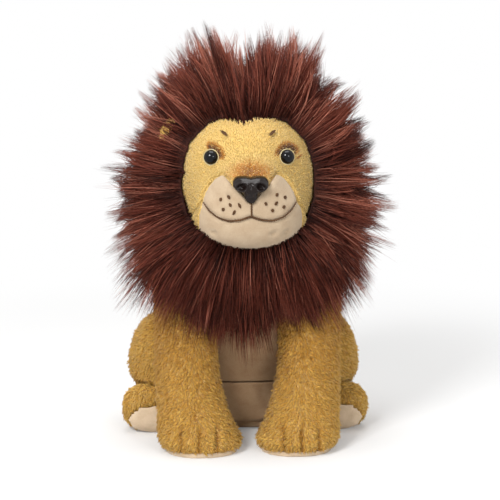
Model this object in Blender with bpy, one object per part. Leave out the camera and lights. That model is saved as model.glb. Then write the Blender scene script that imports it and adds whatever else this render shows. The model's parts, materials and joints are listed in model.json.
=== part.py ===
"""Plush sitting lion with a long-pile mane, made of separately sewn and fitted pieces.

Lengths are in metres. +Z is up, the face looks along -Y, and the flat seat rests on z = 0.
The head turns on the neck seam, the forelegs swing at the shoulders and the tail at its root.
"""

import math

import bmesh
import bpy
import numpy as np
from mathutils import Matrix, Vector

# Clearances
GAP = 0.0004
OVERRUN = 0.004
SURROUND = 0.4

# Stuffed body
NECK_HEIGHT = 0.145
BODY_WIDTH = 0.124
BODY_DEPTH = 0.096
BODY_POWER = 2.15
SEWN_PANEL = 0.003
CHEST_WIDTH = 0.056
CHEST_POWER = 3.2
CHEST_DROP = 0.013
CHEST_TOP = NECK_HEIGHT - CHEST_DROP
CHEST_FOOT = 0.040
BELLY_FOOT = 0.007
SEAT_WIDTH = 0.076
SEAT_DEPTH = 0.052
SEAT_CENTRE_Y = 0.0025
PELLET_HEIGHT = 0.030
PELLET_INSET = 0.006

# Haunches and hind feet
HAUNCH_WIDTH = 0.060
HAUNCH_DEPTH = 0.076
HAUNCH_RISE = 0.086
HAUNCH_SINK = 0.005
HAUNCH_X = 0.0575
HAUNCH_Y = 0.002
HAUNCH_POWER = 2.2
ANKLE_SHARE = 0.66
FOOT_WIDTH = 0.054
FOOT_HEIGHT = 0.037
FOOT_LENGTH = 0.034
FOOT_X = 0.0655
FOOT_FRONT_Y = -0.041
FOOT_POWER = 2.7
SOLE_TILT = math.radians(24)
SOLE_THICKNESS = 0.0030

# Forelegs
SHOULDER_X = 0.0445
SHOULDER_Y = -0.058
SHOULDER_DROP = 0.027
SHOULDER_HEIGHT = NECK_HEIGHT - SHOULDER_DROP
SHOULDER_RADIUS = 0.023
PAW_WIDTH = 0.061
PAW_LENGTH = 0.054
LEG_SWING = math.radians(20)
PAW_SETBACK_SHARE = 0.48
SHIN_SHARE = 0.30
LEG_POWER = 2.0
PAW_POWER = 2.2

# Head
HEAD_WIDTH = 0.100
HEAD_DEPTH = 0.092
HEAD_HEIGHT = 0.100
HEAD_Y = -0.042
HEAD_LIFT_SHARE = 0.48
HEAD_Z = NECK_HEIGHT + HEAD_HEIGHT * HEAD_LIFT_SHARE
SKULL_POWER = 2.3
BLEND_POWER = 9
STEPS_TO_SURFACE = 26
CREASE_ANGLE = math.radians(38)
NECK_Y = -0.030
NECK_RADIUS = 0.027

# Snout, with its bridge, and the cream panels let into it
SNOUT_WIDTH_SHARE = 0.78
SNOUT_WIDTH = HEAD_WIDTH * SNOUT_WIDTH_SHARE
SNOUT_DEPTH = 0.072
SNOUT_HEIGHT_SHARE = 0.54
SNOUT_HEIGHT = HEAD_HEIGHT * SNOUT_HEIGHT_SHARE
SNOUT_Y = -0.069
SNOUT_DROP_SHARE = 0.21
SNOUT_Z = HEAD_Z - HEAD_HEIGHT * SNOUT_DROP_SHARE
SNOUT_POWER = 2.3
BRIDGE_WIDTH_SHARE = 0.46
BRIDGE_WIDTH = HEAD_WIDTH * BRIDGE_WIDTH_SHARE
BRIDGE_DEPTH = 0.070
BRIDGE_HEIGHT_SHARE = 0.34
BRIDGE_HEIGHT = HEAD_HEIGHT * BRIDGE_HEIGHT_SHARE
BRIDGE_Y = -0.069
BRIDGE_DROP_SHARE = 0.025
BRIDGE_Z = HEAD_Z - HEAD_HEIGHT * BRIDGE_DROP_SHARE
MUZZLE_WIDTH_SHARE = 0.64
MUZZLE_WIDTH = HEAD_WIDTH * MUZZLE_WIDTH_SHARE
MUZZLE_RISE_SHARE = 0.30
MUZZLE_RISE = HEAD_HEIGHT * MUZZLE_RISE_SHARE
MUZZLE_DROP_SHARE = 0.023
MUZZLE_FOOT_Z = SNOUT_Z - HEAD_HEIGHT * MUZZLE_DROP_SHARE
CHIN_WIDTH_SHARE = 0.82
CHIN_WIDTH = HEAD_WIDTH * CHIN_WIDTH_SHARE
CHIN_DROP_SHARE = 0.248
CHIN_FOOT_Z = SNOUT_Z - HEAD_HEIGHT * CHIN_DROP_SHARE

# Nose and eyes
NOSE_WIDTH = 0.0242
NOSE_HEIGHT = 0.0200
NOSE_RISE = 0.0088
NOSE_BEDDING = 0.0030
NOSE_DROP_SHARE = 0.015
NOSE_Z = HEAD_Z - HEAD_HEIGHT * NOSE_DROP_SHARE
NOSE_TILT = math.radians(-12)
NOSE_DOME_POWER = 0.7
NOSTRIL_WIDTH = 0.0052
NOSTRIL_HEIGHT = 0.0038
NOSTRIL_DEPTH = 0.0050
NOSTRIL_SPREAD = 0.0114
NOSTRIL_LIFT_SHARE = 0.111
EYE_DIAMETER = 0.012
EYE_RISE = 0.0046
EYE_RIM = 0.0007
EYE_SPREAD_SHARE = 0.526
EYE_X = HEAD_WIDTH * EYE_SPREAD_SHARE / 2
EYE_LIFT_SHARE = 0.178
EYE_Z = HEAD_Z + HEAD_HEIGHT * EYE_LIFT_SHARE
EYE_YAW = math.radians(17)
EYE_PITCH = math.radians(8)
EYE_BEDDING = 0.0010
POST_DIAMETER = 0.0036
POST_LENGTH = 0.0105
WASHER_DIAMETER = 0.013
WASHER_THICKNESS = 0.0016
WASHER_DEPTH = 0.0065

# Ears
EAR_WIDTH = 0.029
EAR_THICKNESS = 0.010
EAR_HEIGHT = 0.027
EAR_SPREAD_SHARE = 0.98
EAR_X = HEAD_WIDTH * EAR_SPREAD_SHARE / 2
EAR_Y = -0.046
EAR_LIFT_SHARE = 0.29
EAR_Z = HEAD_Z + HEAD_HEIGHT * EAR_LIFT_SHARE
EAR_POWER = 2.2
EAR_CUP_SHARE = 0.62
EAR_ROLL = math.radians(32)

# Mane
MANE_RADIUS_SHARE = 1.06
MANE_RADIUS = HEAD_WIDTH * MANE_RADIUS_SHARE
MANE_Y = -0.038
MANE_Z = HEAD_Z
MANE_PARTING = 0.010
MANE_NAPE_Y = 0.002
BIB_FALL = 0.052
BIB_BACK_Y = -0.006
FACE_WIDTH_SHARE = 0.94
FACE_WIDTH = HEAD_WIDTH * FACE_WIDTH_SHARE
FACE_HEIGHT_SHARE = 0.87
FACE_HEIGHT = HEAD_HEIGHT * FACE_HEIGHT_SHARE
FACE_Z = HEAD_Z
FACE_POWER = 2.3
LOCKS = 18
LOCK_SWEEP = 2.2
LOCK_ROUNDNESS = 0.8
LOCK_RIDGE_SHARE = 0.055
LOCK_RIPPLE_SHARE = 0.030
LOCK_INSET_SHARE = 0.045
RIPPLE_PACE = 0.75
RIPPLE_SWEEP = 3
RIPPLE_PHASE = 1.3
BIB_FALL_ANGLE = math.radians(65)
BIB_FALL_SPREAD = math.radians(13)
BIB_FALL_POWER = 1.2
PARTING_SPREAD = math.radians(5)

# Tail
TAIL_X = 0.0
TAIL_Y = 0.0445
TAIL_Z = 0.0145
TAIL_SWEEP = math.radians(112)
TAIL_CURL = 0.9
TAIL_DROP_PACE = 2.2
TAIL_DROP_POWER = 1.6
TAIL_DIAMETER = 0.013
TAIL_ROOT_RADIUS = 0.0075
TAIL_REST = 0.0005
TAIL_RUN_Y = 0.036
TAIL_RUN_X = -0.052
TUFT_LENGTH = 0.042
TUFT_WIDTH = 0.024
TUFT_BEDDING = 0.012
TUFT_POWER = 1.9

# Outlines, as shares of the sizes above. Each row is a height, a centre and two half widths.
TORSO_SHARES = (
    (0.000, 0.026, 0.742, 0.677),
    (0.055, 0.042, 0.875, 0.812),
    (0.172, 0.042, 0.968, 0.896),
    (0.310, 0.010, 1.000, 0.937),
    (0.483, -0.083, 0.968, 1.000),
    (0.655, -0.172, 0.903, 0.969),
    (0.828, -0.245, 0.774, 0.844),
    (0.940, -0.290, 0.613, 0.680),
    (1.000, -0.3125, 0.470, 0.560),
)
# Each row is a height, a place across, half a width, a place along and half a length.
LEG_SHARES = (
    (0.000, 0.755, 0.90, 0.755, 0.88),
    (0.040, 0.765, 1.00, 0.750, 0.99),
    (0.127, 0.830, 0.93, 0.640, 0.98),
    (0.280, 0.920, 0.82, 0.420, 0.89),
    (0.400, 0.966, 0.77, 0.260, 0.84),
    (0.620, 1.000, 0.74, 0.110, 0.84),
    (0.850, 1.000, 0.754, 0.030, 0.852),
    (1.000, 1.000, 0.754, 0.000, 0.852),
)
# Each row is an angle from the face axis, in degrees, and a reach.
MANE_SHARES = (
    (0, 0.500),
    (35, 0.510),
    (48, 0.520),
    (56, 0.540),
    (62, 0.575),
    (68, 0.645),
    (74, 0.735),
    (80, 0.825),
    (86, 0.915),
    (92, 0.975),
    (98, 0.975),
    (106, 0.940),
    (122, 0.840),
    (140, 0.750),
    (160, 0.700),
    (180, 0.680),
)
MANE_ANGLES = [row[0] for row in MANE_SHARES]
MANE_CURVE = [row[1] for row in MANE_SHARES]
# The nose outline, from the top centre round the right side, across and up.
NOSE_SHARES = (
    (0.00, 0.44),
    (0.23, 0.50),
    (0.41, 0.41),
    (0.50, 0.18),
    (0.42, 0.01),
    (0.26, -0.13),
    (0.15, -0.30),
    (0.10, -0.43),
    (0.00, -0.50),
)
# The mouth line from its middle to its corner, as shares of the muzzle's half width and rise.
MOUTH_SHARES = (
    (0.00, 0.11),
    (0.22, 0.03),
    (0.47, 0.00),
    (0.69, 0.07),
    (0.88, 0.21),
    (1.00, 0.39),
)
# From the mouth's corner over the peak of one cheek patch to the middle, behind the nose.
CHEEK_SHARES = (
    (0.94, 0.58),
    (0.82, 0.78),
    (0.70, 0.92),
    (0.58, 1.00),
    (0.46, 0.88),
    (0.36, 0.74),
    (0.00, 0.66),
)
# The chin's side, as shares of its half width and of the height from its foot to the corner.
CHIN_SIDE_SHARES = ((0.93, 0.70), (1.00, 0.46), (1.00, 0.00))

GOLD = (0.745, 0.500, 0.180)
CREAM = (0.700, 0.540, 0.390)
MANE_BROWN = (0.055, 0.015, 0.009)
NOSE_BROWN = (0.060, 0.022, 0.012)
EYE_BROWN = (0.030, 0.012, 0.005)
WASHER_WHITE = (0.780, 0.780, 0.760)
BAG_WHITE = (0.720, 0.700, 0.640)


def clear_scene():
    """Remove what the file holds, so that the part is built alone."""
    for item in list(bpy.data.objects):
        bpy.data.objects.remove(item, do_unlink=True)


def surface(name, colour, roughness, metallic=0.0):
    """Make a Principled material."""
    material = bpy.data.materials.new(name)
    material.use_nodes = True
    shader = material.node_tree.nodes["Principled BSDF"]
    shader.inputs["Base Color"].default_value = (*colour, 1.0)
    shader.inputs["Roughness"].default_value = roughness
    shader.inputs["Metallic"].default_value = metallic
    return material


def piece(name, bm, material):
    """Turn a finished bmesh into a named object, facing outwards and shaded smooth."""
    bmesh.ops.recalc_face_normals(bm, faces=bm.faces)
    mesh = bpy.data.meshes.new(name)
    bm.to_mesh(mesh)
    bm.free()
    if material:
        mesh.materials.append(material)
    shade(mesh)
    made = bpy.data.objects.new(name, mesh)
    bpy.context.scene.collection.objects.link(made)
    return made


def shade(mesh):
    """Shade round faces smooth and keep seams and rims sharp."""
    mesh.polygons.foreach_set("use_smooth", [True] * len(mesh.polygons))
    mesh.set_sharp_from_angle(angle=CREASE_ANGLE)


def guide(made):
    """Mark a shape as a cutter, which is no piece of the toy."""
    made.hide_render = True
    made.display_type = "WIRE"
    return made


def smooth_rows(rows, count):
    """Read a table of shares at an even count of rows, on a smooth curve through its points."""
    table = np.array(rows, dtype=float)
    stations = table[:, 0]
    slopes = np.gradient(table, stations, axis=0)
    wanted = np.linspace(stations[0], stations[-1], count)
    found = []
    for place in wanted:
        low = min(int(np.searchsorted(stations, place, side="right")) - 1, len(stations) - 2)
        span = stations[low + 1] - stations[low]
        t = (place - stations[low]) / span
        found.append(
            table[low] * (2 * t**3 - 3 * t**2 + 1)
            + slopes[low] * span * (t**3 - 2 * t**2 + t)
            + table[low + 1] * (3 * t**2 - 2 * t**3)
            + slopes[low + 1] * span * (t**3 - t**2)
        )
    return np.array(found)


def ring(centre, half_width, half_depth, around, roundness=2.0):
    """Points of a level rounded outline about a centre."""
    points = []
    for step in range(around):
        angle = math.tau * step / around
        c, s = math.cos(angle), math.sin(angle)
        x = math.copysign(abs(c) ** (2 / roundness), c)
        y = math.copysign(abs(s) ** (2 / roundness), s)
        points.append(centre + Vector((half_width * x, half_depth * y, 0)))
    return points


def skin(rings, foot=None, crown=None):
    """Join rings of points into one closed form, with an end point or a flat face at each end."""
    bm = bmesh.new()
    loops = [[bm.verts.new(point) for point in points] for points in rings]
    for lower, upper in zip(loops, loops[1:]):
        for step in range(len(lower)):
            following = (step + 1) % len(lower)
            bm.faces.new((lower[step], lower[following], upper[following], upper[step]))
    for loop, tip in ((loops[0], foot), (loops[-1], crown)):
        if tip is None:
            bm.faces.new(loop)
            continue
        end = bm.verts.new(tip)
        for step in range(len(loop)):
            bm.faces.new((loop[step], loop[(step + 1) % len(loop)], end))
    return bm


def radial(centre, reach, around, along, axis="Z"):
    """Closed form about a centre whose reach depends on the direction."""
    rings = []
    for row in range(1, along):
        polar = math.pi * row / along
        points = []
        for step in range(around):
            turn = math.tau * step / around
            way = pole_direction(polar, turn, axis)
            points.append(centre + way * reach(way))
        rings.append(points)
    first, last = pole_direction(0, 0, axis), pole_direction(math.pi, 0, axis)
    return skin(rings, centre + first * reach(first), centre + last * reach(last))


def pole_direction(polar, turn, axis):
    """Unit direction at a polar angle and a turn, with the pole up or towards the face."""
    out, ahead = math.sin(polar), math.cos(polar)
    if axis == "Z":
        return Vector((out * math.cos(turn), out * math.sin(turn), ahead))
    return Vector((out * math.cos(turn), -ahead, out * math.sin(turn)))


def ellipsoid_reach(width, depth, height, power=2.0):
    """Reach of a stuffed round form, fuller than an ellipsoid where power is above 2."""

    def reach(way):
        total = (
            abs(2 * way.x / width) ** power
            + abs(2 * way.y / depth) ** power
            + abs(2 * way.z / height) ** power
        )
        return total ** (-1 / power)

    return reach


def round_form(name, centre, size, material, around=24, along=14, power=2.0, axis="Z"):
    """A stuffed round form of a given width, depth and height."""
    bm = radial(Vector(centre), ellipsoid_reach(*size, power), around, along, axis)
    return piece(name, bm, material)


def block(name, low, high):
    """A box cutter between two corners."""
    bm = bmesh.new()
    low, high = Vector(low), Vector(high)
    bmesh.ops.create_cube(bm, size=1.0)
    for vert in bm.verts:
        vert.co = low + Vector(
            (high - low)[i] * (vert.co[i] + 1 / 2) for i in range(len(vert.co))
        )
    return guide(piece(name, bm, None))


def oval_column(name, centre, size, length, axis, around=32, roundness=2.0):
    """An oval cutter that runs up from its centre, or towards the face."""
    half = (size[0] / 2, size[1] / 2)
    low = ring(Vector((0, 0, 0)), *half, around, roundness)
    high = ring(Vector((0, 0, length)), *half, around, roundness)
    bm = skin([low, high])
    turn = Matrix.Rotation(math.pi / 2, 4, "X") if axis == "Y" else Matrix.Identity(4)
    bm.transform(Matrix.Translation(Vector(centre)) @ turn)
    return guide(piece(name, bm, None))


def grown(made, by):
    """A cutter in the shape of a piece, larger all round by a clearance."""
    mesh = made.data.copy()
    bm = bmesh.new()
    bm.from_mesh(mesh)
    bm.normal_update()
    moves = [vert.normal * by for vert in bm.verts]
    for vert, move in zip(bm.verts, moves):
        vert.co += move
    bm.to_mesh(mesh)
    bm.free()
    copied = bpy.data.objects.new(made.name + "_guide", mesh)
    bpy.context.scene.collection.objects.link(copied)
    return guide(copied)


def combine(made, tool, operation="DIFFERENCE", keep=False, solver="EXACT"):
    """Cut, join or limit a piece with a cutter and settle the result in its mesh."""
    step = made.modifiers.new("cut", "BOOLEAN")
    step.operation = operation
    step.solver = solver
    step.object = tool
    bpy.context.view_layer.update()
    graph = bpy.context.evaluated_depsgraph_get()
    mesh = bpy.data.meshes.new_from_object(made.evaluated_get(graph))
    material = made.data.materials[0] if made.data.materials else None
    made.modifiers.clear()
    mesh.materials.clear()
    if material:
        mesh.materials.append(material)
    mesh.polygons.foreach_set("material_index", [0] * len(mesh.polygons))
    made.data = mesh
    if not keep:
        bpy.data.objects.remove(tool, do_unlink=True)
    return made


def keep_main_body(made, merge=True):
    """Drop slivers that a cut leaves beside the piece, and merge points that coincide."""
    bm = bmesh.new()
    bm.from_mesh(made.data)
    if merge:
        bmesh.ops.remove_doubles(bm, verts=bm.verts, dist=GAP / 400)
    bm.verts.ensure_lookup_table()
    left, groups = set(bm.verts), []
    while left:
        group, edge_of = set(), [left.pop()]
        while edge_of:
            vert = edge_of.pop()
            group.add(vert)
            for edge in vert.link_edges:
                other = edge.other_vert(vert)
                if other in left:
                    left.remove(other)
                    edge_of.append(other)
        groups.append(group)
    groups.sort(key=len)
    spare = [vert for group in groups[:-1] for vert in group]
    bmesh.ops.delete(bm, geom=spare, context="VERTS")
    if merge:
        bmesh.ops.dissolve_degenerate(bm, dist=GAP / 400, edges=bm.edges)
        bmesh.ops.triangulate(bm, faces=[face for face in bm.faces if len(face.verts) > 4])
        rims = [edge for edge in bm.edges if len(edge.link_faces) == 1]
        bmesh.ops.holes_fill(bm, edges=rims, sides=0)
    bm.to_mesh(made.data)
    bm.free()
    shade(made.data)
    return made


def cut_by(made, others, by=GAP, solver="EXACT"):
    """Clear a piece of its larger neighbours."""
    for other in others:
        combine(made, grown(other, by), solver=solver)
    return keep_main_body(made, solver == "EXACT")


def clear_swing(made, limb, pivot, furthest, steps):
    """Clear a piece of a limb at rest and at even steps of its swing forwards."""
    pivot = Vector(pivot)
    for step in range(steps + 1):
        tool = grown(limb, GAP)
        turn = Matrix.Rotation(-furthest * step / steps, 4, "X")
        tool.data.transform(Matrix.Translation(pivot) @ turn @ Matrix.Translation(-pivot))
        combine(made, tool, solver="MANIFOLD")
    return keep_main_body(made, False)


def pivot_at(made, point):
    """Put a moving piece's origin on its joint axis."""
    point = Vector(point)
    made.data.transform(Matrix.Translation(-point))
    made.location = point


def mirrored(name, made, material):
    """The right-hand copy of a left-hand piece."""
    bm = bmesh.new()
    bm.from_mesh(made.data)
    bmesh.ops.scale(bm, vec=(-1, 1, 1), verts=bm.verts)
    bmesh.ops.reverse_faces(bm, faces=bm.faces)
    return piece(name, bm, material)


def turned(name, profile, material, around=24):
    """A body turned from a closed profile of radius and height."""
    bm = bmesh.new()
    verts = [bm.verts.new((radius, 0, height)) for radius, height in profile]
    on_axis = profile[0][0] == 0
    pairs = list(zip(verts, verts[1:]))
    if not on_axis:
        pairs.append((verts[-1], verts[0]))
    edges = [bm.edges.new(pair) for pair in pairs]
    bmesh.ops.spin(
        bm,
        geom=verts + edges,
        cent=(0, 0, 0),
        axis=(0, 0, 1),
        angle=math.tau,
        steps=around,
        use_merge=True,
        use_duplicate=False,
    )
    bmesh.ops.remove_doubles(bm, verts=bm.verts, dist=GAP / 400)
    return piece(name, bm, material)


def facing(made, point, yaw=0.0, pitch=0.0):
    """Turn a piece made along +Z to look out of the face, and place it."""
    look = Matrix.Rotation(math.pi / 2, 4, "X")
    swing = Matrix.Rotation(yaw, 4, "Z") @ Matrix.Rotation(-pitch, 4, "X")
    made.data.transform(Matrix.Translation(Vector(point)) @ swing @ look)
    return made


def build_torso(gold):
    """The pear-shaped stuffed body, flat where it rests and flat at the neck seam."""
    rings = []
    top = NECK_HEIGHT - GAP / 2
    for height, centre, width, depth in smooth_rows(TORSO_SHARES, 15):
        middle = Vector((0, centre * BODY_DEPTH, height * top))
        half = (width * BODY_WIDTH / 2, depth * BODY_DEPTH / 2)
        rings.append(ring(middle, *half, 26, BODY_POWER))
    return piece("torso", skin(rings), gold)


def build_front(torso, cream):
    """The velour breast and belly panels, let into the front of the body and sewn at a crease."""
    place = (0, 0, (CHEST_TOP + BELLY_FOOT) / 2)
    size = (CHEST_WIDTH, CHEST_TOP - BELLY_FOOT)
    window = oval_column("window", place, size, BODY_DEPTH, "Y", 32, CHEST_POWER)
    chest = piece("chest_panel", mesh_of(torso), cream)
    combine(chest, window, "INTERSECT", keep=True)
    combine(chest, grown(torso, -SEWN_PANEL))
    belly = piece("belly_panel", mesh_of(chest), cream)
    low, high = (-SURROUND, -SURROUND, -SURROUND), (SURROUND, SURROUND, SURROUND)
    combine(chest, block("crease", low, (SURROUND, SURROUND, CHEST_FOOT)))
    combine(belly, block("crease", (-SURROUND, -SURROUND, CHEST_FOOT - GAP), high))
    pocket = guide(piece("pocket", mesh_of(window), None))
    bpy.data.objects.remove(window, do_unlink=True)
    wide = grown(pocket, GAP)
    bpy.data.objects.remove(pocket, do_unlink=True)
    combine(wide, grown(torso, -SEWN_PANEL - GAP))
    combine(torso, wide)
    return keep_main_body(chest), keep_main_body(belly)


def mesh_of(made):
    """A bmesh copy of a piece."""
    bm = bmesh.new()
    bm.from_mesh(made.data)
    return bm


def build_seat(torso, gold, cloth):
    """The closing panel under the body and the bag of pellets above it."""
    place = (0, SEAT_CENTRE_Y, 0)
    size = (SEAT_WIDTH, SEAT_DEPTH)
    seat = oval_column("seat_panel", place, size, SEWN_PANEL, "Z", 36)
    seat.hide_render = False
    seat.display_type = "TEXTURED"
    seat.data.materials.append(gold)
    low = SEWN_PANEL + GAP
    bag_size = (SEAT_WIDTH - 2 * PELLET_INSET, SEAT_DEPTH - 2 * PELLET_INSET, 2 * PELLET_HEIGHT)
    bag = round_form("pellet_bag", (0, SEAT_CENTRE_Y, low), bag_size, cloth, 16, 10)
    under = block("under", (-SURROUND, -SURROUND, -SURROUND), (SURROUND, SURROUND, low))
    combine(bag, under)
    place = (0, SEAT_CENTRE_Y, -OVERRUN)
    size = (SEAT_WIDTH + 2 * GAP, SEAT_DEPTH + 2 * GAP)
    recess = oval_column("recess", place, size, OVERRUN + low, "Z", 36)
    combine(torso, recess)
    room = (bag_size[0] + 2 * GAP, bag_size[1] + 2 * GAP, bag_size[2] + 2 * GAP)
    pocket = round_form("pocket", (0, SEAT_CENTRE_Y, low), room, None, 16, 10)
    combine(torso, guide(pocket))
    return seat, keep_main_body(bag)


def build_haunch(gold):
    """A stuffed thigh beside the body, flat where it rests."""
    size = (HAUNCH_WIDTH, HAUNCH_DEPTH, HAUNCH_RISE + HAUNCH_SINK)
    centre = (-HAUNCH_X, HAUNCH_Y, (HAUNCH_RISE - HAUNCH_SINK) / 2)
    haunch = round_form("haunch_left", centre, size, gold, 16, 12, HAUNCH_POWER)
    for vert in haunch.data.vertices:
        low = max(0.0, 1 - vert.co.z / centre[2])
        narrow = 1 - (1 - ANKLE_SHARE) * math.sqrt(min(1.0, low))
        vert.co.x = centre[0] + (vert.co.x - centre[0]) * narrow
    floor = block("floor", (-SURROUND, -SURROUND, -SURROUND), (SURROUND, SURROUND, 0))
    return combine(haunch, floor)


def build_hind_foot(gold, cream):
    """A stuffed hind foot with its sole panel facing forwards."""
    rise = FOOT_HEIGHT / 2 - HAUNCH_SINK / 4
    centre = (-FOOT_X, FOOT_FRONT_Y + FOOT_LENGTH / 2, rise)
    size = (FOOT_WIDTH, FOOT_LENGTH, FOOT_HEIGHT)
    foot = round_form("hind_foot_left", centre, size, gold, 20, 12, FOOT_POWER, "Y")
    floor = block("floor", (-SURROUND, -SURROUND, -SURROUND), (SURROUND, SURROUND, 0))
    combine(foot, floor)
    sole = piece("hind_sole_left", mesh_of(foot), cream)
    seam = Matrix.Translation((0, FOOT_FRONT_Y + SOLE_THICKNESS, FOOT_HEIGHT / 2))
    seam = seam @ Matrix.Rotation(SOLE_TILT, 4, "X")
    front = block("sole_cut", (-SURROUND, -SURROUND, -SURROUND), (SURROUND, 0, SURROUND))
    back = block("foot_cut", (-SURROUND, -GAP, -SURROUND), (SURROUND, SURROUND, SURROUND))
    for made, tool in ((foot, front), (sole, back)):
        tool.data.transform(seam)
        combine(made, tool)
    return keep_main_body(foot), keep_main_body(sole)


def build_foreleg(gold, cream):
    """A straight stuffed foreleg with a ball at the shoulder and a broad paw with its sole."""
    rings = []
    for height, across, width, along, length in smooth_rows(LEG_SHARES, 14):
        x = -across * SHOULDER_X
        y = SHOULDER_Y - along * PAW_LENGTH * PAW_SETBACK_SHARE
        half = (width * PAW_WIDTH / 2, length * PAW_LENGTH / 2)
        middle = Vector((x, y, height * SHOULDER_HEIGHT))
        power = PAW_POWER if height < SHIN_SHARE else LEG_POWER
        rings.append(ring(middle, *half, 18, power))
    crown = Vector((-SHOULDER_X, SHOULDER_Y, SHOULDER_HEIGHT))
    rings.pop()
    for step in range(4):
        angle = math.pi / 2 * step / 4
        middle = crown + Vector((0, 0, SHOULDER_RADIUS * math.sin(angle)))
        half = SHOULDER_RADIUS * math.cos(angle)
        rings.append(ring(middle, half, half, 18))
    leg = piece("foreleg_left", skin(rings, None, crown + Vector((0, 0, SHOULDER_RADIUS))), gold)
    sole = piece("forepaw_sole_left", mesh_of(leg), cream)
    seam = SOLE_THICKNESS
    low, high = (-SURROUND, -SURROUND, -SURROUND), (SURROUND, SURROUND, SURROUND)
    combine(leg, block("sole_cut", low, (SURROUND, SURROUND, seam)))
    combine(sole, block("leg_cut", (-SURROUND, -SURROUND, seam - GAP), high))
    return keep_main_body(leg), keep_main_body(sole)


def face_fullness(point):
    """Over 1 inside the stuffed head, whose skull, snout and bridge flow into each other."""
    lumps = (
        (0, HEAD_Y, HEAD_Z, HEAD_WIDTH, HEAD_DEPTH, HEAD_HEIGHT, SKULL_POWER),
        (0, SNOUT_Y, SNOUT_Z, SNOUT_WIDTH, SNOUT_DEPTH, SNOUT_HEIGHT, SNOUT_POWER),
        (0, BRIDGE_Y, BRIDGE_Z, BRIDGE_WIDTH, BRIDGE_DEPTH, BRIDGE_HEIGHT, SKULL_POWER),
    )
    total = 0.0
    for x, y, z, width, depth, height, power in lumps:
        away = point - Vector((x, y, z))
        reach = ellipsoid_reach(width, depth, height, power)(away.normalized())
        total += (reach / max(away.length, GAP)) ** BLEND_POWER
    return total ** (1 / BLEND_POWER)


def head_reach(way):
    """Reach of the head about the middle between its skull and its snout."""
    centre = Vector((0, (HEAD_Y + SNOUT_Y) / 2, (HEAD_Z + SNOUT_Z) / 2))
    low, high = 0.0, HEAD_HEIGHT
    for _ in range(STEPS_TO_SURFACE):
        middle = (low + high) / 2
        if face_fullness(centre + way * middle) > 1:
            low = middle
        else:
            high = middle
    return low


def build_head(gold):
    """The stuffed head with its snout, and a short neck that ends flat at the seam."""
    centre = Vector((0, (HEAD_Y + SNOUT_Y) / 2, (HEAD_Z + SNOUT_Z) / 2))
    form = guide(piece("head_form", radial(centre, head_reach, 28, 18), None))
    head = piece("head", mesh_of(form), gold)
    neck = oval_column(
        "neck",
        (0, NECK_Y, NECK_HEIGHT + GAP / 2),
        (2 * NECK_RADIUS, 2 * NECK_RADIUS),
        HEAD_HEIGHT / 4,
        "Z",
        28,
    )
    combine(head, neck, "UNION")
    low = (-SURROUND, -SURROUND, -SURROUND)
    combine(head, block("seam", low, (SURROUND, SURROUND, NECK_HEIGHT + GAP / 2)))
    keep_main_body(head)
    return head, form, guide(piece("head_outside", mesh_of(head), None))


def mirrored_outline(points):
    """A closed outline from the points of its right half, from the middle round to the middle."""
    left = [(-x, z) for x, z in reversed(points) if x > 0]
    return [*points, *left]


def outline_column(name, points, back_y):
    """A cutter with an outline across and up, that runs out of the face."""
    back = [Vector((x, back_y, z)) for x, z in points]
    front = [Vector((x, -SURROUND, z)) for x, z in points]
    return guide(piece(name, skin([back, front]), None))


def mouth_line():
    """The mouth from its middle to its corner, as places across and up."""
    return [
        (across * MUZZLE_WIDTH / 2, MUZZLE_FOOT_Z + up * MUZZLE_RISE)
        for across, up in MOUTH_SHARES
    ]


def build_sewn_panel(name, form, head, outline, back_y, cream):
    """A panel of the face, let into the head inside an outline."""
    window = outline_column("window", outline, back_y)
    panel = piece(name, mesh_of(form), cream)
    combine(panel, window, "INTERSECT", keep=True)
    combine(panel, grown(form, -SEWN_PANEL))
    pocket = grown(window, GAP)
    bpy.data.objects.remove(window, do_unlink=True)
    combine(pocket, grown(form, -SEWN_PANEL - GAP))
    combine(head, pocket, solver="MANIFOLD")
    return keep_main_body(panel)


def build_muzzle(form, head, cream):
    """The cream muzzle, with one pointed patch on each cheek, which meet under the nose."""
    half = MUZZLE_WIDTH / 2
    cheek = [(x * half, MUZZLE_FOOT_Z + z * MUZZLE_RISE) for x, z in CHEEK_SHARES]
    outline = mirrored_outline([*mouth_line(), *cheek])
    return build_sewn_panel("muzzle", form, head, outline, BRIDGE_Y, cream)


def build_chin(form, head, cream):
    """The cream lower jaw, from the mouth line down to the throat."""
    corner = MUZZLE_FOOT_Z + MOUTH_SHARES[-1][1] * MUZZLE_RISE
    side = [
        (x * CHIN_WIDTH / 2, CHIN_FOOT_Z + z * (corner - CHIN_FOOT_Z))
        for x, z in CHIN_SIDE_SHARES
    ]
    top = [(x, z - GAP) for x, z in mouth_line()]
    outline = mirrored_outline([*top, *side])
    return build_sewn_panel("chin", form, head, outline, HEAD_Y, cream)


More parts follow.
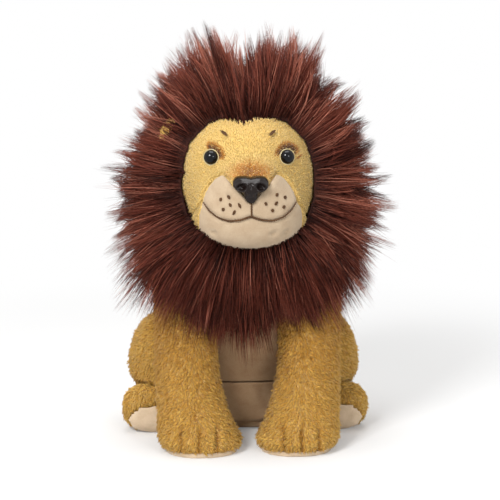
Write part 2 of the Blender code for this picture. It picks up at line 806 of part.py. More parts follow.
def build_nose(head, muzzle, brown, white):
    """The moulded nose with two nostrils and a locking post, and its washer."""
    outline = smooth_outline(NOSE_SHARES)
    rings = []
    for step in range(5):
        angle = math.pi / 2 * step / 5
        share = math.cos(angle) ** NOSE_DOME_POWER
        height = NOSE_RISE * math.sin(angle)
        rings.append(
            [
                Vector((x * NOSE_WIDTH * share, y * NOSE_HEIGHT * share, height))
                for x, y in outline
            ]
        )
    nose = piece("nose", skin(rings, None, Vector((0, 0, NOSE_RISE))), brown)
    post = oval_column(
        "post", (0, 0, -POST_LENGTH), (POST_DIAMETER, POST_DIAMETER), POST_LENGTH + EYE_RIM, "Z", 14
    )
    combine(nose, post, "UNION")
    for side in (-1, 1):
        place = (side * NOSTRIL_SPREAD / 2, NOSE_HEIGHT * NOSTRIL_LIFT_SHARE, NOSE_RISE)
        size = (NOSTRIL_WIDTH, NOSTRIL_HEIGHT, NOSTRIL_DEPTH)
        nostril = round_form("nostril", place, size, None, 10, 6)
        combine(nose, guide(nostril))
    keep_main_body(nose)
    point = face_point(0, NOSE_Z, NOSE_BEDDING)
    facing(nose, point, 0, NOSE_TILT)
    washer = build_washer("nose_washer", white)
    facing(washer, point, 0, NOSE_TILT)
    for made in (muzzle, head):
        cut_by(made, [nose])
    cut_washer_room(head, point, 0, NOSE_TILT)
    return nose, washer


def smooth_outline(shares):
    """Both halves of a mirrored outline, on a smooth curve through its points."""
    points = [(index / (len(shares) - 1), *point) for index, point in enumerate(shares)]
    half = smooth_rows(points, 11)[:, 1:]
    left = [(-x, y) for x, y in half[-2:0:-1]]
    return [(float(x), float(y)) for x, y in [*half, *left]][::-1]


def build_washer(name, white):
    """A toothless plastic locking washer round a post."""
    inner = POST_DIAMETER / 2 + GAP
    outer = WASHER_DIAMETER / 2
    low, high = -WASHER_DEPTH - WASHER_THICKNESS, -WASHER_DEPTH
    profile = ((inner, low), (outer, low), (outer, high), (inner, high))
    return turned(name, profile, white, 16)


def cut_washer_room(made, point, yaw, pitch):
    """Room for a washer and its post inside a stuffed piece, open along the post."""
    across = WASHER_DIAMETER + 2 * GAP
    room = oval_column(
        "room",
        (0, 0, -WASHER_DEPTH - WASHER_THICKNESS - GAP),
        (across, across),
        WASHER_THICKNESS + 2 * GAP,
        "Z",
        20,
    )
    facing(room, point, yaw, pitch)
    combine(made, room)
    return keep_main_body(made)


def build_eye(head, side, brown, white):
    """A domed safety eye with a rim and a post, bedded in the head, and its washer."""
    label = "left" if side < 0 else "right"
    radius = EYE_DIAMETER / 2
    profile = [(0, -POST_LENGTH), (POST_DIAMETER / 2, -POST_LENGTH), (POST_DIAMETER / 2, 0)]
    profile.append((radius, 0))
    profile.append((radius, EYE_RIM))
    for step in range(1, 5):
        angle = math.pi / 2 * step / 5
        height = EYE_RIM + EYE_RISE * math.sin(angle)
        profile.append(((radius - EYE_RIM / 2) * math.cos(angle), height))
    profile.append((0, EYE_RIM + EYE_RISE))
    eye = turned("eye_" + label, profile, brown, 14)
    washer = build_washer("eye_washer_" + label, white)
    point = face_point(side * EYE_X, EYE_Z, EYE_BEDDING)
    yaw = side * EYE_YAW
    for made in (eye, washer):
        facing(made, point, yaw, EYE_PITCH)
    cut_by(head, [eye])
    cut_washer_room(head, point, yaw, EYE_PITCH)
    return eye, washer


def face_point(x, z, bedding):
    """The point of the face at a place across and up, set in by a bedding depth."""
    low, high = 0.0, HEAD_DEPTH
    for _ in range(STEPS_TO_SURFACE):
        middle = (low + high) / 2
        if face_fullness(Vector((x, HEAD_Y - middle, z))) > 1:
            low = middle
        else:
            high = middle
    return Vector((x, HEAD_Y - low + bedding, z))


def build_ear(head, gold):
    """A small round ear with a cupped front, sewn to the side of the head."""
    size = (EAR_WIDTH, EAR_THICKNESS, EAR_HEIGHT)
    ear = round_form("ear_left", (0, 0, 0), size, gold, 14, 7, EAR_POWER)
    hollow = (EAR_WIDTH * EAR_CUP_SHARE, EAR_THICKNESS, EAR_HEIGHT * EAR_CUP_SHARE)
    cup = round_form("cup", (0, -EAR_THICKNESS * EAR_CUP_SHARE, 0), hollow, None, 10, 6)
    combine(ear, guide(cup))
    turn = Matrix.Rotation(EAR_ROLL, 4, "Y") @ Matrix.Rotation(EAR_ROLL / 2, 4, "Z")
    ear.data.transform(Matrix.Translation(Vector((-EAR_X, EAR_Y, EAR_Z))) @ turn)
    return cut_by(ear, [head])


def mane_reach(way):
    """Reach of the mane about its centre: full at the sides, lower behind, long over the bib."""
    polar = math.acos(max(-1.0, min(1.0, -way.y)))
    turn = math.atan2(way.z, way.x)
    base = float(np.interp(math.degrees(polar), MANE_ANGLES, MANE_CURVE)) * MANE_RADIUS
    down = max(0.0, -math.sin(turn)) ** BIB_FALL_POWER
    base += BIB_FALL * down * math.exp(-(((polar - BIB_FALL_ANGLE) / BIB_FALL_SPREAD) ** 2))
    part = math.exp(-(((turn - math.pi / 2) / PARTING_SPREAD) ** 2))
    edge = max(0.0, math.sin(polar))
    base -= MANE_PARTING * part * edge
    sweep = turn * LOCKS + polar * LOCK_SWEEP
    ridge = 1 - abs(math.sin(sweep / 2)) ** LOCK_ROUNDNESS
    ripple = 1 - abs(math.sin(sweep * RIPPLE_PACE + RIPPLE_PHASE + polar * RIPPLE_SWEEP))
    lift = LOCK_RIDGE_SHARE * ridge + LOCK_RIPPLE_SHARE * ripple - LOCK_INSET_SHARE
    return base * (1 + edge**2 * lift)


def build_mane(brown, head, ears, neighbours):
    """The mane, sewn from two side pieces, a nape piece and the bib under the chin."""
    centre = Vector((0, MANE_Y, MANE_Z))
    whole = piece("whole", radial(centre, mane_reach, 54, 17, "Y"), None)
    place = (0, MANE_Y, FACE_Z)
    window = oval_column("window", place, (FACE_WIDTH, FACE_HEIGHT), SURROUND, "Y", 36, FACE_POWER)
    far, near = SURROUND, GAP / 2
    seam = NECK_HEIGHT + near
    regions = {
        "mane_left": ((-far, -far, seam), (-near, MANE_NAPE_Y - near, far)),
        "mane_right": ((near, -far, seam), (far, MANE_NAPE_Y - near, far)),
        "mane_nape": ((-far, MANE_NAPE_Y + near, seam), (far, far, far)),
        "mane_bib": ((-far, -far, -far), (far, BIB_BACK_Y - near, NECK_HEIGHT - near)),
        "mane_collar": ((-far, BIB_BACK_Y + near, -far), (far, far, NECK_HEIGHT - near)),
    }
    made = []
    for name, (low, high) in regions.items():
        part = piece(name, mesh_of(whole), brown)
        combine(part, block("region", low, high), "INTERSECT", solver="MANIFOLD")
        if name in ("mane_bib", "mane_collar"):
            cut_by(part, neighbours, solver="MANIFOLD")
        else:
            combine(part, window, keep=True, solver="MANIFOLD")
            cut_by(part, [head, *ears], solver="MANIFOLD")
        made.append(part)
    for tool in (whole, window):
        bpy.data.objects.remove(tool, do_unlink=True)
    return made


def tail_path(count):
    """Points along the tail, from its root to its end on the floor."""
    rest = TAIL_DIAMETER / 2 - TAIL_REST
    points = []
    for step in range(count):
        t = step / (count - 1)
        angle = t * TAIL_SWEEP
        x = TAIL_X + TAIL_RUN_X * (1 - math.cos(angle)) / (1 - math.cos(TAIL_SWEEP))
        y = TAIL_Y + TAIL_RUN_Y * math.sin(angle) ** TAIL_CURL
        z = rest + (TAIL_Z - rest) * max(0.0, 1 - t * TAIL_DROP_PACE) ** TAIL_DROP_POWER
        points.append(Vector((x, y, z)))
    return points


def build_tail(gold, brown):
    """The tail, a stuffed tube that lies on the floor, with a long-pile tuft at its end."""
    points = tail_path(11)
    rings = []
    for index, point in enumerate(points):
        ahead = points[min(index + 1, len(points) - 1)] - points[max(index - 1, 0)]
        ahead.normalize()
        side = ahead.cross(Vector((0, 0, 1))).normalized()
        up = side.cross(ahead)
        radius = TAIL_DIAMETER / 2
        loop = []
        for step in range(12):
            angle = math.tau * step / 12
            loop.append(point + radius * (math.cos(angle) * side + math.sin(angle) * up))
        rings.append(loop)
    tail = piece("tail", skin(rings), gold)
    place = (TAIL_X, TAIL_Y, TAIL_Z)
    size = (2 * TAIL_ROOT_RADIUS,) * 3
    root = round_form("root", place, size, None, 12, 8)
    combine(tail, guide(root), "UNION")
    ahead = (points[-1] - points[-2]).normalized()
    middle = points[-1] + ahead * (TUFT_LENGTH / 2 - TUFT_BEDDING)
    size = (TUFT_LENGTH, TUFT_WIDTH, TUFT_WIDTH)
    tuft = round_form("tail_tuft", (0, 0, 0), size, brown, 14, 9, TUFT_POWER)
    turn = Matrix.Rotation(math.atan2(ahead.y, ahead.x), 4, "Z")
    rise = Vector((0, 0, TUFT_WIDTH / 2 - points[-1].z - TAIL_REST))
    tuft.data.transform(Matrix.Translation(middle + rise) @ turn)
    low = (-SURROUND, -SURROUND, -SURROUND)
    for made in (tail, tuft):
        combine(made, block("floor", low, (SURROUND, SURROUND, 0)))
    cut_by(tuft, [tail])
    return keep_main_body(tail), tuft


def build():
    clear_scene()
    gold = surface("gold_plush", GOLD, 0.95)
    cream = surface("cream_velour", CREAM, 0.9)
    brown = surface("mane_pile", MANE_BROWN, 0.8)
    torso = build_torso(gold)
    body_form = guide(piece("body_form", mesh_of(torso), None))
    chest, belly = build_front(torso, cream)
    build_seat(torso, cream, surface("bag_cloth", BAG_WHITE, 0.9))
    leg, paw_sole = build_foreleg(gold, cream)
    right_leg = mirrored("foreleg_right", leg, gold)
    right_paw_sole = mirrored("forepaw_sole_right", paw_sole, cream)
    tail, tuft = build_tail(gold, brown)
    shoulder = (-SHOULDER_X, SHOULDER_Y, SHOULDER_HEIGHT)
    other_shoulder = (SHOULDER_X, SHOULDER_Y, SHOULDER_HEIGHT)
    cut_by(torso, [tail])
    for made in (torso, chest):
        clear_swing(made, leg, shoulder, LEG_SWING, 2)
        clear_swing(made, right_leg, other_shoulder, LEG_SWING, 2)
    foot, sole = build_hind_foot(gold, cream)
    haunch = build_haunch(gold)
    cut_by(haunch, [foot, leg])
    for made in (foot, sole, haunch):
        cut_by(made, [body_form])
    mirrored("haunch_right", haunch, gold)
    mirrored("hind_foot_right", foot, gold)
    mirrored("hind_sole_right", sole, cream)
    head, face_form, outside = build_head(gold)
    muzzle = build_muzzle(face_form, head, cream)
    chin = build_chin(face_form, head, cream)
    keep_main_body(head)
    dark = surface("nose_plastic", NOSE_BROWN, 0.35)
    glass = surface("eye_plastic", EYE_BROWN, 0.08)
    white = surface("washer_plastic", WASHER_WHITE, 0.5)
    moved = [*build_nose(head, muzzle, dark, white)]
    for side in (-1, 1):
        moved += build_eye(head, side, glass, white)
    ear = build_ear(head, gold)
    right_ear = mirrored("ear_right", ear, gold)
    neighbours = [body_form, leg, right_leg]
    mane = build_mane(brown, outside, [ear, right_ear], neighbours)
    for form in (face_form, outside):
        bpy.data.objects.remove(form, do_unlink=True)
    bpy.data.objects.remove(body_form, do_unlink=True)
    on_head = [head, muzzle, chin, ear, right_ear, *moved, *mane[:3]]
    for made in on_head:
        pivot_at(made, (0, NECK_Y, NECK_HEIGHT))
    for made in (leg, paw_sole):
        pivot_at(made, shoulder)
    for made in (right_leg, right_paw_sole):
        pivot_at(made, other_shoulder)
    for made in (tail, tuft):
        pivot_at(made, (TAIL_X, TAIL_Y, TAIL_Z))


build()
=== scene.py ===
# %% [markdown]
# # Dressing a plush lion
# The solids of this toy are plain stuffed forms. A real plush toy shows almost none of them: what we
# see is pile, thousands of short fibres on the body and long ones in the mane. The forms could be
# given a furry picture as a material, but its outline would stay hard. So each form gets a smooth
# skin made from its own solid, and fibres are then grown on the skins as small closed meshes.

import json
import math

import bmesh
import bpy
import numpy as np
from mathutils import Matrix, Vector
from mathutils.kdtree import KDTree

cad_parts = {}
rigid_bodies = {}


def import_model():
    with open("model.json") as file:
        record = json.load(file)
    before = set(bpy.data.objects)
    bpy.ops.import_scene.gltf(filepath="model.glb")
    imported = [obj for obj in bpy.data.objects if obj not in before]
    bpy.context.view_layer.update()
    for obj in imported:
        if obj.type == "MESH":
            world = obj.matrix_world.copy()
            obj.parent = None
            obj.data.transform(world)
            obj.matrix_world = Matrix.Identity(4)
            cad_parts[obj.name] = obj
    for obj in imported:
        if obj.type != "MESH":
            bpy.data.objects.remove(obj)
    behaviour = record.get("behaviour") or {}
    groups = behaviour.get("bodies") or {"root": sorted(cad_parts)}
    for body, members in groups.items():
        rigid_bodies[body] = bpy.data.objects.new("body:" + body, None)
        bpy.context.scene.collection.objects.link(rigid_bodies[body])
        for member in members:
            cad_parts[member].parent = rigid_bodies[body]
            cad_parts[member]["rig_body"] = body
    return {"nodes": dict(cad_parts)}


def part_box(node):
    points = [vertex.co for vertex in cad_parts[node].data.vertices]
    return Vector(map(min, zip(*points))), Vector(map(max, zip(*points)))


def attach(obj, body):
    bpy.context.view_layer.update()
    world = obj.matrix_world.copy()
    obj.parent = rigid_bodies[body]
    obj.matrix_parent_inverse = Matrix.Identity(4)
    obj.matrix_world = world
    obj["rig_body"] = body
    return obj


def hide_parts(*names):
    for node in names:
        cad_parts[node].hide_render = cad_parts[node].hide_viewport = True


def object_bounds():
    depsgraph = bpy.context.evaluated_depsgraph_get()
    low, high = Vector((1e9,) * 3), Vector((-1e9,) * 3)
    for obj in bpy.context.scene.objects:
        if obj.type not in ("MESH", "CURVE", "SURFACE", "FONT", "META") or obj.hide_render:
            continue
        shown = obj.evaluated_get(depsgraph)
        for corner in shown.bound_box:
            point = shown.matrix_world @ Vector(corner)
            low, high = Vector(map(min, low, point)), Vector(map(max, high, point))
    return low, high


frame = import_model()
cad_low, cad_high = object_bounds()
MM = 0.001
chance = np.random.default_rng(7)
print("nodes", len(frame["nodes"]), "size in mm", [round(v / MM, 1) for v in cad_high - cad_low])

# %% [markdown]
# ## Camera
# The photograph looks down a little, from slightly left of straight ahead, with a long lens that
# keeps the head and the feet at the same scale. The camera aims at a point in the chest.

# %% Camera
CAMERA_AZIMUTH = math.radians(-3)
CAMERA_ELEVATION = math.radians(10)
CAMERA_DISTANCE = 1.15
CAMERA_LENS = 115
CAMERA_FAR_END = 20
aim = Vector((0.0022, -0.050, 0.140))


def placed(name, data):
    """A new object of the scene, with its camera, light or mesh."""
    made = bpy.data.objects.new(name, data)
    bpy.context.scene.collection.objects.link(made)
    return made


def place_camera():
    """A long-lens camera that looks at the aim from its own direction."""
    level = math.cos(CAMERA_ELEVATION)
    across, forwards = math.sin(CAMERA_AZIMUTH) * level, math.cos(CAMERA_AZIMUTH) * level
    back = Vector((across, -forwards, math.sin(CAMERA_ELEVATION)))
    data = bpy.data.cameras.new("camera")
    data.lens, data.clip_end = CAMERA_LENS, CAMERA_FAR_END
    made = placed("camera", data)
    made.location = aim + back * CAMERA_DISTANCE
    made.rotation_euler = (-back).to_track_quat("-Z", "Y").to_euler()
    bpy.context.scene.camera = made
    return made


camera = place_camera()
print("camera at", [round(v, 3) for v in camera.location])

# %% [markdown]
# ## Shader sums
# A pattern in a material is mostly arithmetic on sockets. Written with nodes by hand, that takes a
# line for each node, so one small class lets Python's own signs add the Math nodes.

# %% A socket that takes part in sums
class Value:
    """A socket of a material, for use in sums with numbers and other sockets."""

    def __init__(self, finish, socket):
        self.finish, self.socket = finish, socket

    def math(self, operation, one, two):
        return self.finish.node("Math", {"operation": operation}, {0: one, 1: two})

    def __add__(self, other):
        return self.math("ADD", self, other)

    def __sub__(self, other):
        return self.math("SUBTRACT", self, other)

    def __rsub__(self, other):
        return self.math("SUBTRACT", other, self)

    def __mul__(self, other):
        return self.math("MULTIPLY", self, other)

    __radd__, __rmul__ = __add__, __mul__

# %% [markdown]
# Every other node comes from one method that takes the node's type, its settings and what goes into
# its sockets. A number goes straight onto its socket, and only what changes over a surface is linked.

# %% A material and its nodes
class Finish:
    """One material, with a method that adds any node to it."""

    def __init__(self, name, **sockets):
        self.material = bpy.data.materials.new(name)
        self.material.use_nodes = True
        self.tree = self.material.node_tree
        self.shader = self.tree.nodes["Principled BSDF"]
        self.paint(**sockets)

    def fill(self, socket, value):
        if isinstance(value, Value):
            self.tree.links.new(value.socket, socket)
        elif socket.type == "RGBA":
            socket.default_value = (*value, 1)
        else:
            socket.default_value = value

    def node(self, kind, settings=None, inputs=None, output=0):
        made = self.tree.nodes.new("ShaderNode" + kind)
        settings = dict(settings or {})
        stops = settings.pop("stops", ())
        for key, value in settings.items():
            setattr(made, key, value)
        for index, (place, colour) in enumerate(stops):
            line = made.color_ramp.elements
            stop = line[index] if index < 2 else line.new(place)
            stop.position, stop.color = place, (*colour, 1)
        for key, value in (inputs or {}).items():
            self.fill(made.inputs[key], value)
        return Value(self, made.outputs[output])

    def paint(self, **sockets):
        """Fill the shader's own sockets, whose names are given in small letters."""
        for key, value in sockets.items():
            socket = key.replace("_", " ").title().replace("Ior", "IOR")
            self.fill(self.shader.inputs[socket], value)
        return self.material

    def mix(self, kind, amount, one, two):
        """Colours one and two, mixed in a way that Blender names."""
        settings = {"data_type": "RGBA", "blend_type": kind}
        return self.node("Mix", settings, {0: amount, 6: one, 7: two}, 2)

    def bump(self, height, strength, distance):
        inputs = {"Strength": strength, "Distance": distance, "Height": height}
        return self.node("Bump", None, inputs)

    def place(self):
        """The object's own coordinates."""
        return self.node("TexCoord", None, None, 3)

    def noise(self, scale, detail):
        """Noise on the object's own coordinates. The scale is in grains to the metre."""
        inputs = {"Vector": self.place(), "Scale": scale, "Detail": detail}
        return self.node("TexNoise", None, inputs)

# %% [markdown]
# ## Pile
# A fibre of pile is darkened at its root by painted shade, where its neighbours shade it, and pale at
# its tip. Each fibre carries its own tone. Both are numbers, so they go in the fibre's UV map: across
# is the tone, and up is the place from root to tip. One ramp turns the tone into a colour and another
# paints the shade at the root.

# %% Finishes of the pile
FIBRE_MAP = "OFBake"
PILE_SHINE = 0.12
SHEEN_SPREAD = 0.45
# Tones and their colours. A ramp's two ends come first, because a new ramp has them already. The
# gold's tones run from its deep shade to its palest, and on to the brown that is sprayed on it.
GOLD_TONES = (
    (0.00, (0.400, 0.170, 0.018)),
    (1.00, (0.035, 0.012, 0.007)),
    (0.20, (0.740, 0.410, 0.075)),
    (0.35, (0.890, 0.590, 0.145)),
    (0.50, (0.885, 0.670, 0.266)),
    (0.64, (0.600, 0.260, 0.035)),
    (0.80, (0.170, 0.062, 0.018)),
)
MANE_TONES = (
    (0.00, (0.030, 0.0065, 0.0035)),
    (1.00, (0.640, 0.2500, 0.1650)),
    (0.40, (0.145, 0.0310, 0.0180)),
    (0.72, (0.320, 0.0840, 0.0500)),
)
# Painted shade at the roots of the fibres: grey at the root, white at the tip.
SHORT_ROOT_SHADE = ((0.0, (0.62, 0.54, 0.42)), (1.0, (1.0, 1.0, 1.0)), (0.55, (0.93, 0.90, 0.86)))
LONG_ROOT_SHADE = ((0.0, (0.20, 0.18, 0.18)), (1.0, (1.0, 1.0, 1.0)), (0.5, (0.72, 0.70, 0.70)))


def pile_finish(name, tones, root_shade, roughness, sheen):
    """A finish for fibres, from a ramp of tones and the painted shade at their roots."""
    finish = Finish(name, roughness=roughness, specular_ior_level=PILE_SHINE)
    finish.paint(sheen_weight=sheen, sheen_roughness=SHEEN_SPREAD)
    place = finish.node("UVMap", {"uv_map": FIBRE_MAP})
    tone = finish.node("SeparateXYZ", None, {0: place}, 0)
    along = finish.node("SeparateXYZ", None, {0: place}, 1)
    colour = finish.node("ValToRGB", {"stops": tones}, {0: tone})
    shade = finish.node("ValToRGB", {"stops": root_shade}, {0: along})
    return finish.paint(base_color=finish.mix("MULTIPLY", 1.0, colour, shade))


gold_pile = pile_finish("gold_pile", GOLD_TONES, SHORT_ROOT_SHADE, 0.85, 0.12)
mane_pile = pile_finish("mane_pile", MANE_TONES, LONG_ROOT_SHADE, 0.50, 0.0)
print("pile finishes", gold_pile.name, mane_pile.name)

# %% [markdown]
# ## Cloth under the pile and velour
# Between the fibres the backing cloth shows, a little darker than the pile. The cream panels are
# velour, with a nap too short to be fibres here, so a fine noise tints it and bumps it.

# %% Finishes of cloth
CLOTH_SHINE = 0.15
CLOTH_SHEEN_SPREAD = 0.5
# A brushed patch of cloth is this many times as wide as a grain of its nap.
BRUSHED_PATCH = 12
CLOTH_RELIEF = 0.4 * MM


def cloth_finish(name, dark, pale, grain=1500, bump=0.35, roughness=0.9, sheen=0.1):
    """A napped cloth: a coarse noise for worn and brushed places and a fine one for its nap."""
    finish = Finish(name, roughness=roughness, specular_ior_level=CLOTH_SHINE)
    finish.paint(sheen_weight=sheen, sheen_roughness=CLOTH_SHEEN_SPREAD)
    brushed = finish.noise(grain / BRUSHED_PATCH, 2.0)
    nap = finish.noise(grain, 4.0)
    amount = brushed * 0.55 + nap * 0.45
    colour = finish.node("ValToRGB", {"stops": ((0.32, dark), (0.68, pale))}, {0: amount})
    relief = finish.bump(nap + brushed * 0.6, bump, CLOTH_RELIEF)
    return finish.paint(base_color=colour, normal=relief)


gold_cloth = cloth_finish("gold_cloth", (0.40, 0.23, 0.06), (0.56, 0.35, 0.11), 900, 0.6)
face_cloth = cloth_finish("face_cloth", (0.56, 0.38, 0.12), (0.74, 0.53, 0.21), 900, 0.4)
cream_velour = cloth_finish("cream_velour", (0.375, 0.270, 0.172), (0.475, 0.365, 0.248), sheen=0.2)
sole_velour = cloth_finish("sole_velour", (0.53, 0.395, 0.260), (0.70, 0.550, 0.390), sheen=0.2)
# The mane's dark brown, deepened by painted shade, for the dense mane and what lies under it.
mane_shade_cloth = cloth_finish("mane_shade_cloth", (0.012, 0.004, 0.003), (0.040, 0.011, 0.007), 500, 0.8, sheen=0.0)
# The panels' cream velour, darkened by painted shade, as under the mane and between the legs.
shaded_panel_velour = cloth_finish("shaded_panel_velour", (0.295, 0.175, 0.092), (0.400, 0.265, 0.150))
bag_cloth = cloth_finish("bag_cloth", (0.62, 0.60, 0.55), (0.80, 0.78, 0.72), 1100, 0.4, sheen=0.4)
thread = cloth_finish("thread", (0.050, 0.022, 0.008), (0.125, 0.058, 0.022), 2500, 0.5, 0.7)
print("cloths from", gold_cloth.name, "to", thread.name)

# %% [markdown]
# ## Plastic
# The nose and the eyes are moulded. A mould leaves its surface a little uneven, so a fine noise
# spreads the gloss, which would otherwise be a mirror's.

# %% Finishes of plastic
PLASTIC_GRAIN = 700
PLASTIC_RELIEF = 0.1 * MM


def plastic_finish(name, colour, roughness, coat, gloss=0.35):
    """Moulded plastic with a faint unevenness."""
    finish = Finish(name, base_color=colour, specular_ior_level=gloss)
    finish.paint(coat_weight=coat, coat_roughness=0.06)
    uneven = finish.noise(PLASTIC_GRAIN, 3.0)
    relief = finish.bump(uneven, 0.08, PLASTIC_RELIEF)
    return finish.paint(roughness=uneven * 0.10 + roughness, normal=relief)


nose_plastic = plastic_finish("nose_plastic", (0.010, 0.006, 0.005), 0.12, 0.0, 0.20)
eye_plastic = plastic_finish("eye_plastic", (0.001, 0.001, 0.002), 0.0, 0.0, 0.26)
ring_plastic = plastic_finish("ring_plastic", (0.60, 0.48, 0.25), 0.25, 0.4)
washer_plastic = plastic_finish("washer_plastic", (0.78, 0.78, 0.76), 0.45, 0.0)
print("plastics from", nose_plastic.name, "to", washer_plastic.name)

# %% [markdown]
# ## Meshes as arrays
# A skin has thousands of corners. To move each one by a formula, their places are read into an array
# and written back, which is much faster than a loop over them.

# %% Pieces and their corners
def body_of(node):
    """The moving body that a node of the frame belongs to."""
    return frame["nodes"][node]["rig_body"]


def smoothly_shaded(mesh, smooth=True):
    mesh.polygons.foreach_set("use_smooth", [smooth] * len(mesh.polygons))


def shown(name, bm, material, smooth=True):
    """A finished bmesh as a piece of the scene."""
    mesh = bpy.data.meshes.new(name)
    bm.to_mesh(mesh)
    bm.free()
    mesh.materials.append(material)
    smoothly_shaded(mesh, smooth)
    return placed(name, mesh)


def places(mesh, what="co"):
    """The vertices' places, or their normals, as an array."""
    found = np.zeros(len(mesh.vertices) * 3)
    mesh.vertices.foreach_get(what, found)
    return found.reshape(-1, 3)


def move_to(made, co):
    made.data.vertices.foreach_set("co", np.asarray(co, float).ravel())
    made.data.update()
    return made


def dress_faces(made, material, test):
    """Give another material to the faces whose middles pass a test."""
    slot = len(made.data.materials)
    made.data.materials.append(material)
    middles = np.array([face.center[:] for face in made.data.polygons])
    kinds = np.zeros(len(middles), int)
    made.data.polygons.foreach_get("material_index", kinds)
    made.data.polygons.foreach_set("material_index", np.where(test(middles), slot, kinds))


print("solids on bodies:", len({body_of(node) for node in frame["nodes"]}))

# %% [markdown]
# ## Skins
# A solid of the frame is loose triangles with hard corners. Its copy is merged, given even squares
# by a voxel remesh and smoothed, which rounds its corners as stuffing does. It is then drawn in by
# a little less than the pile's length, so that the fibres fill the space that the solid holds.

# %% Skins made from the frame's solids
def settled(made):
    """The piece with its modifiers worked into its mesh."""
    bpy.context.view_layer.update()
    graph = bpy.context.evaluated_depsgraph_get()
    mesh = bpy.data.meshes.new_from_object(made.evaluated_get(graph))
    made.modifiers.clear()
    made.data = mesh
    smoothly_shaded(mesh)
    return made


def rounded(made, rounds):
    """The piece with its corners smoothed in rounds."""
    bm = bmesh.new()
    bm.from_mesh(made.data)
    for _ in range(rounds):
        bmesh.ops.smooth_vert(
            bm, verts=bm.verts, factor=0.5, use_axis_x=True, use_axis_y=True, use_axis_z=True
        )
    bm.to_mesh(made.data)
    bm.free()


def even_skin(name, node, voxel, material, rounds, inset, shape=None):
    """A smooth skin in the shape of a node's solid, drawn in by the inset."""
    bm = bmesh.new()
    bm.from_mesh(frame["nodes"][node].data)
    bmesh.ops.remove_doubles(bm, verts=bm.verts, dist=0.001 * MM)
    made = shown(name, bm, material)
    if shape is not None:
        move_to(made, shape(places(made.data)))
    even = made.modifiers.new("even", "REMESH")
    even.mode, even.voxel_size = "VOXEL", voxel
    settled(made)
    rounded(made, rounds)
    if inset:
        move_to(made, places(made.data) - inset * places(made.data, "normal"))
    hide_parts(node)
    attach(made, body_of(node))
    return made

# %% [markdown]
# ## Fibres
# One fibre is a three-sided cone, cut across into sections. It is made once, with Blender's own
# cone, and kept as a list of corners and faces. A tuft of short pile has one section, which is four
# faces, a fibre of the undercoat has two, and a strand of the mane has three.

# %% The shape of one fibre
SIDES = 3


def fibre_shape(sections):
    """The corners and faces of a cone, cut across into sections."""
    bm = bmesh.new()
    rise = Matrix.Translation((0, 0, 0.5))
    bmesh.ops.create_cone(
        bm, cap_ends=True, segments=SIDES, radius1=1.0, radius2=0.0, depth=1.0, matrix=rise
    )
    for cut in range(1, sections):
        geometry = [*bm.verts, *bm.edges, *bm.faces]
        height = (0, 0, cut / sections)
        bmesh.ops.bisect_plane(bm, geom=geometry, plane_co=height, plane_no=(0, 0, 1))
    bmesh.ops.remove_doubles(bm, verts=bm.verts, dist=0.0001)
    bmesh.ops.triangulate(bm, faces=bm.faces)
    bmesh.ops.recalc_face_normals(bm, faces=bm.faces)
    bm.verts.ensure_lookup_table()
    corners = np.array([vert.co[:] for vert in bm.verts])
    faces = np.array([[vert.index for vert in face.verts] for face in bm.faces])
    bm.free()
    left = np.maximum(1 - corners[:, 2], 0.0001)
    corners[:, :2] /= left[:, None]
    corners[corners[:, 2] > 0.999, :2] = 0
    return corners, faces


TUFT, DOWN, STRAND = (fibre_shape(sections) for sections in (1, 2, 3))
print("faces in a tuft", len(TUFT[1]), "and in a strand", len(STRAND[1]))

# %% [markdown]
# The fibre is then copied along a curve for each root on a skin. The copies on one skin are one mesh,
# worked out as one array, because a loop over a quarter of a million fibres would be slow.

# %% Copies of a fibre along curves
# How a fibre narrows towards its tip, and the least height of its corners over the floor.
TAPER = 0.6
FLOOR_GAP = 0.0001


def unit(v):
    return v / np.maximum(np.linalg.norm(v, axis=-1, keepdims=True), 1e-9)


def grow(name, fibre, roots, middles, tips, width, tones, material, body):
    """Copies a fibre along a curve from each root, past a middle, to a tip."""
    corners, faces = fibre
    t = corners[:, 2][None, :, None]
    line = roots[:, None] * (1 - t) ** 2 + middles[:, None] * 2 * t * (1 - t) + tips[:, None] * t**2
    ahead = unit(tips - roots)
    side = unit(np.cross(ahead, unit(chance.normal(size=ahead.shape))))
    up = np.cross(side, ahead)
    wide = width[:, None, None] * (1 - t) ** TAPER
    x, y = corners[:, 0][None, :, None], corners[:, 1][None, :, None]
    co = (line + wide * (x * side[:, None] + y * up[:, None])).reshape(-1, 3)
    co[:, 2] = np.maximum(co[:, 2], FLOOR_GAP)
    count = len(corners)
    index = (faces[None] + (np.arange(len(roots)) * count)[:, None, None]).reshape(-1, 3)
    mesh = bpy.data.meshes.new(name)
    mesh.from_pydata(co.tolist(), [], index.tolist())
    smoothly_shaded(mesh)
    flat = np.stack([np.repeat(tones, count), np.tile(corners[:, 2], len(roots))], 1)
    layer = mesh.uv_layers.new(name=FIBRE_MAP)
    layer.data.foreach_set("uv", flat[index.ravel()].astype(np.float32).ravel())
    mesh.materials.append(material)
    made = placed(name, mesh)
    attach(made, body)
    print(name, len(roots), "fibres,", len(index), "faces")
    return made

# %% [markdown]
# Roots are spread over a skin at random, as many to the square metre everywhere, whatever the size
# of its faces. Neighbouring fibres then share a leader, to whose tip theirs are drawn. Leaders are
# found with a grid, one to a cell, and each fibre joins the nearest.

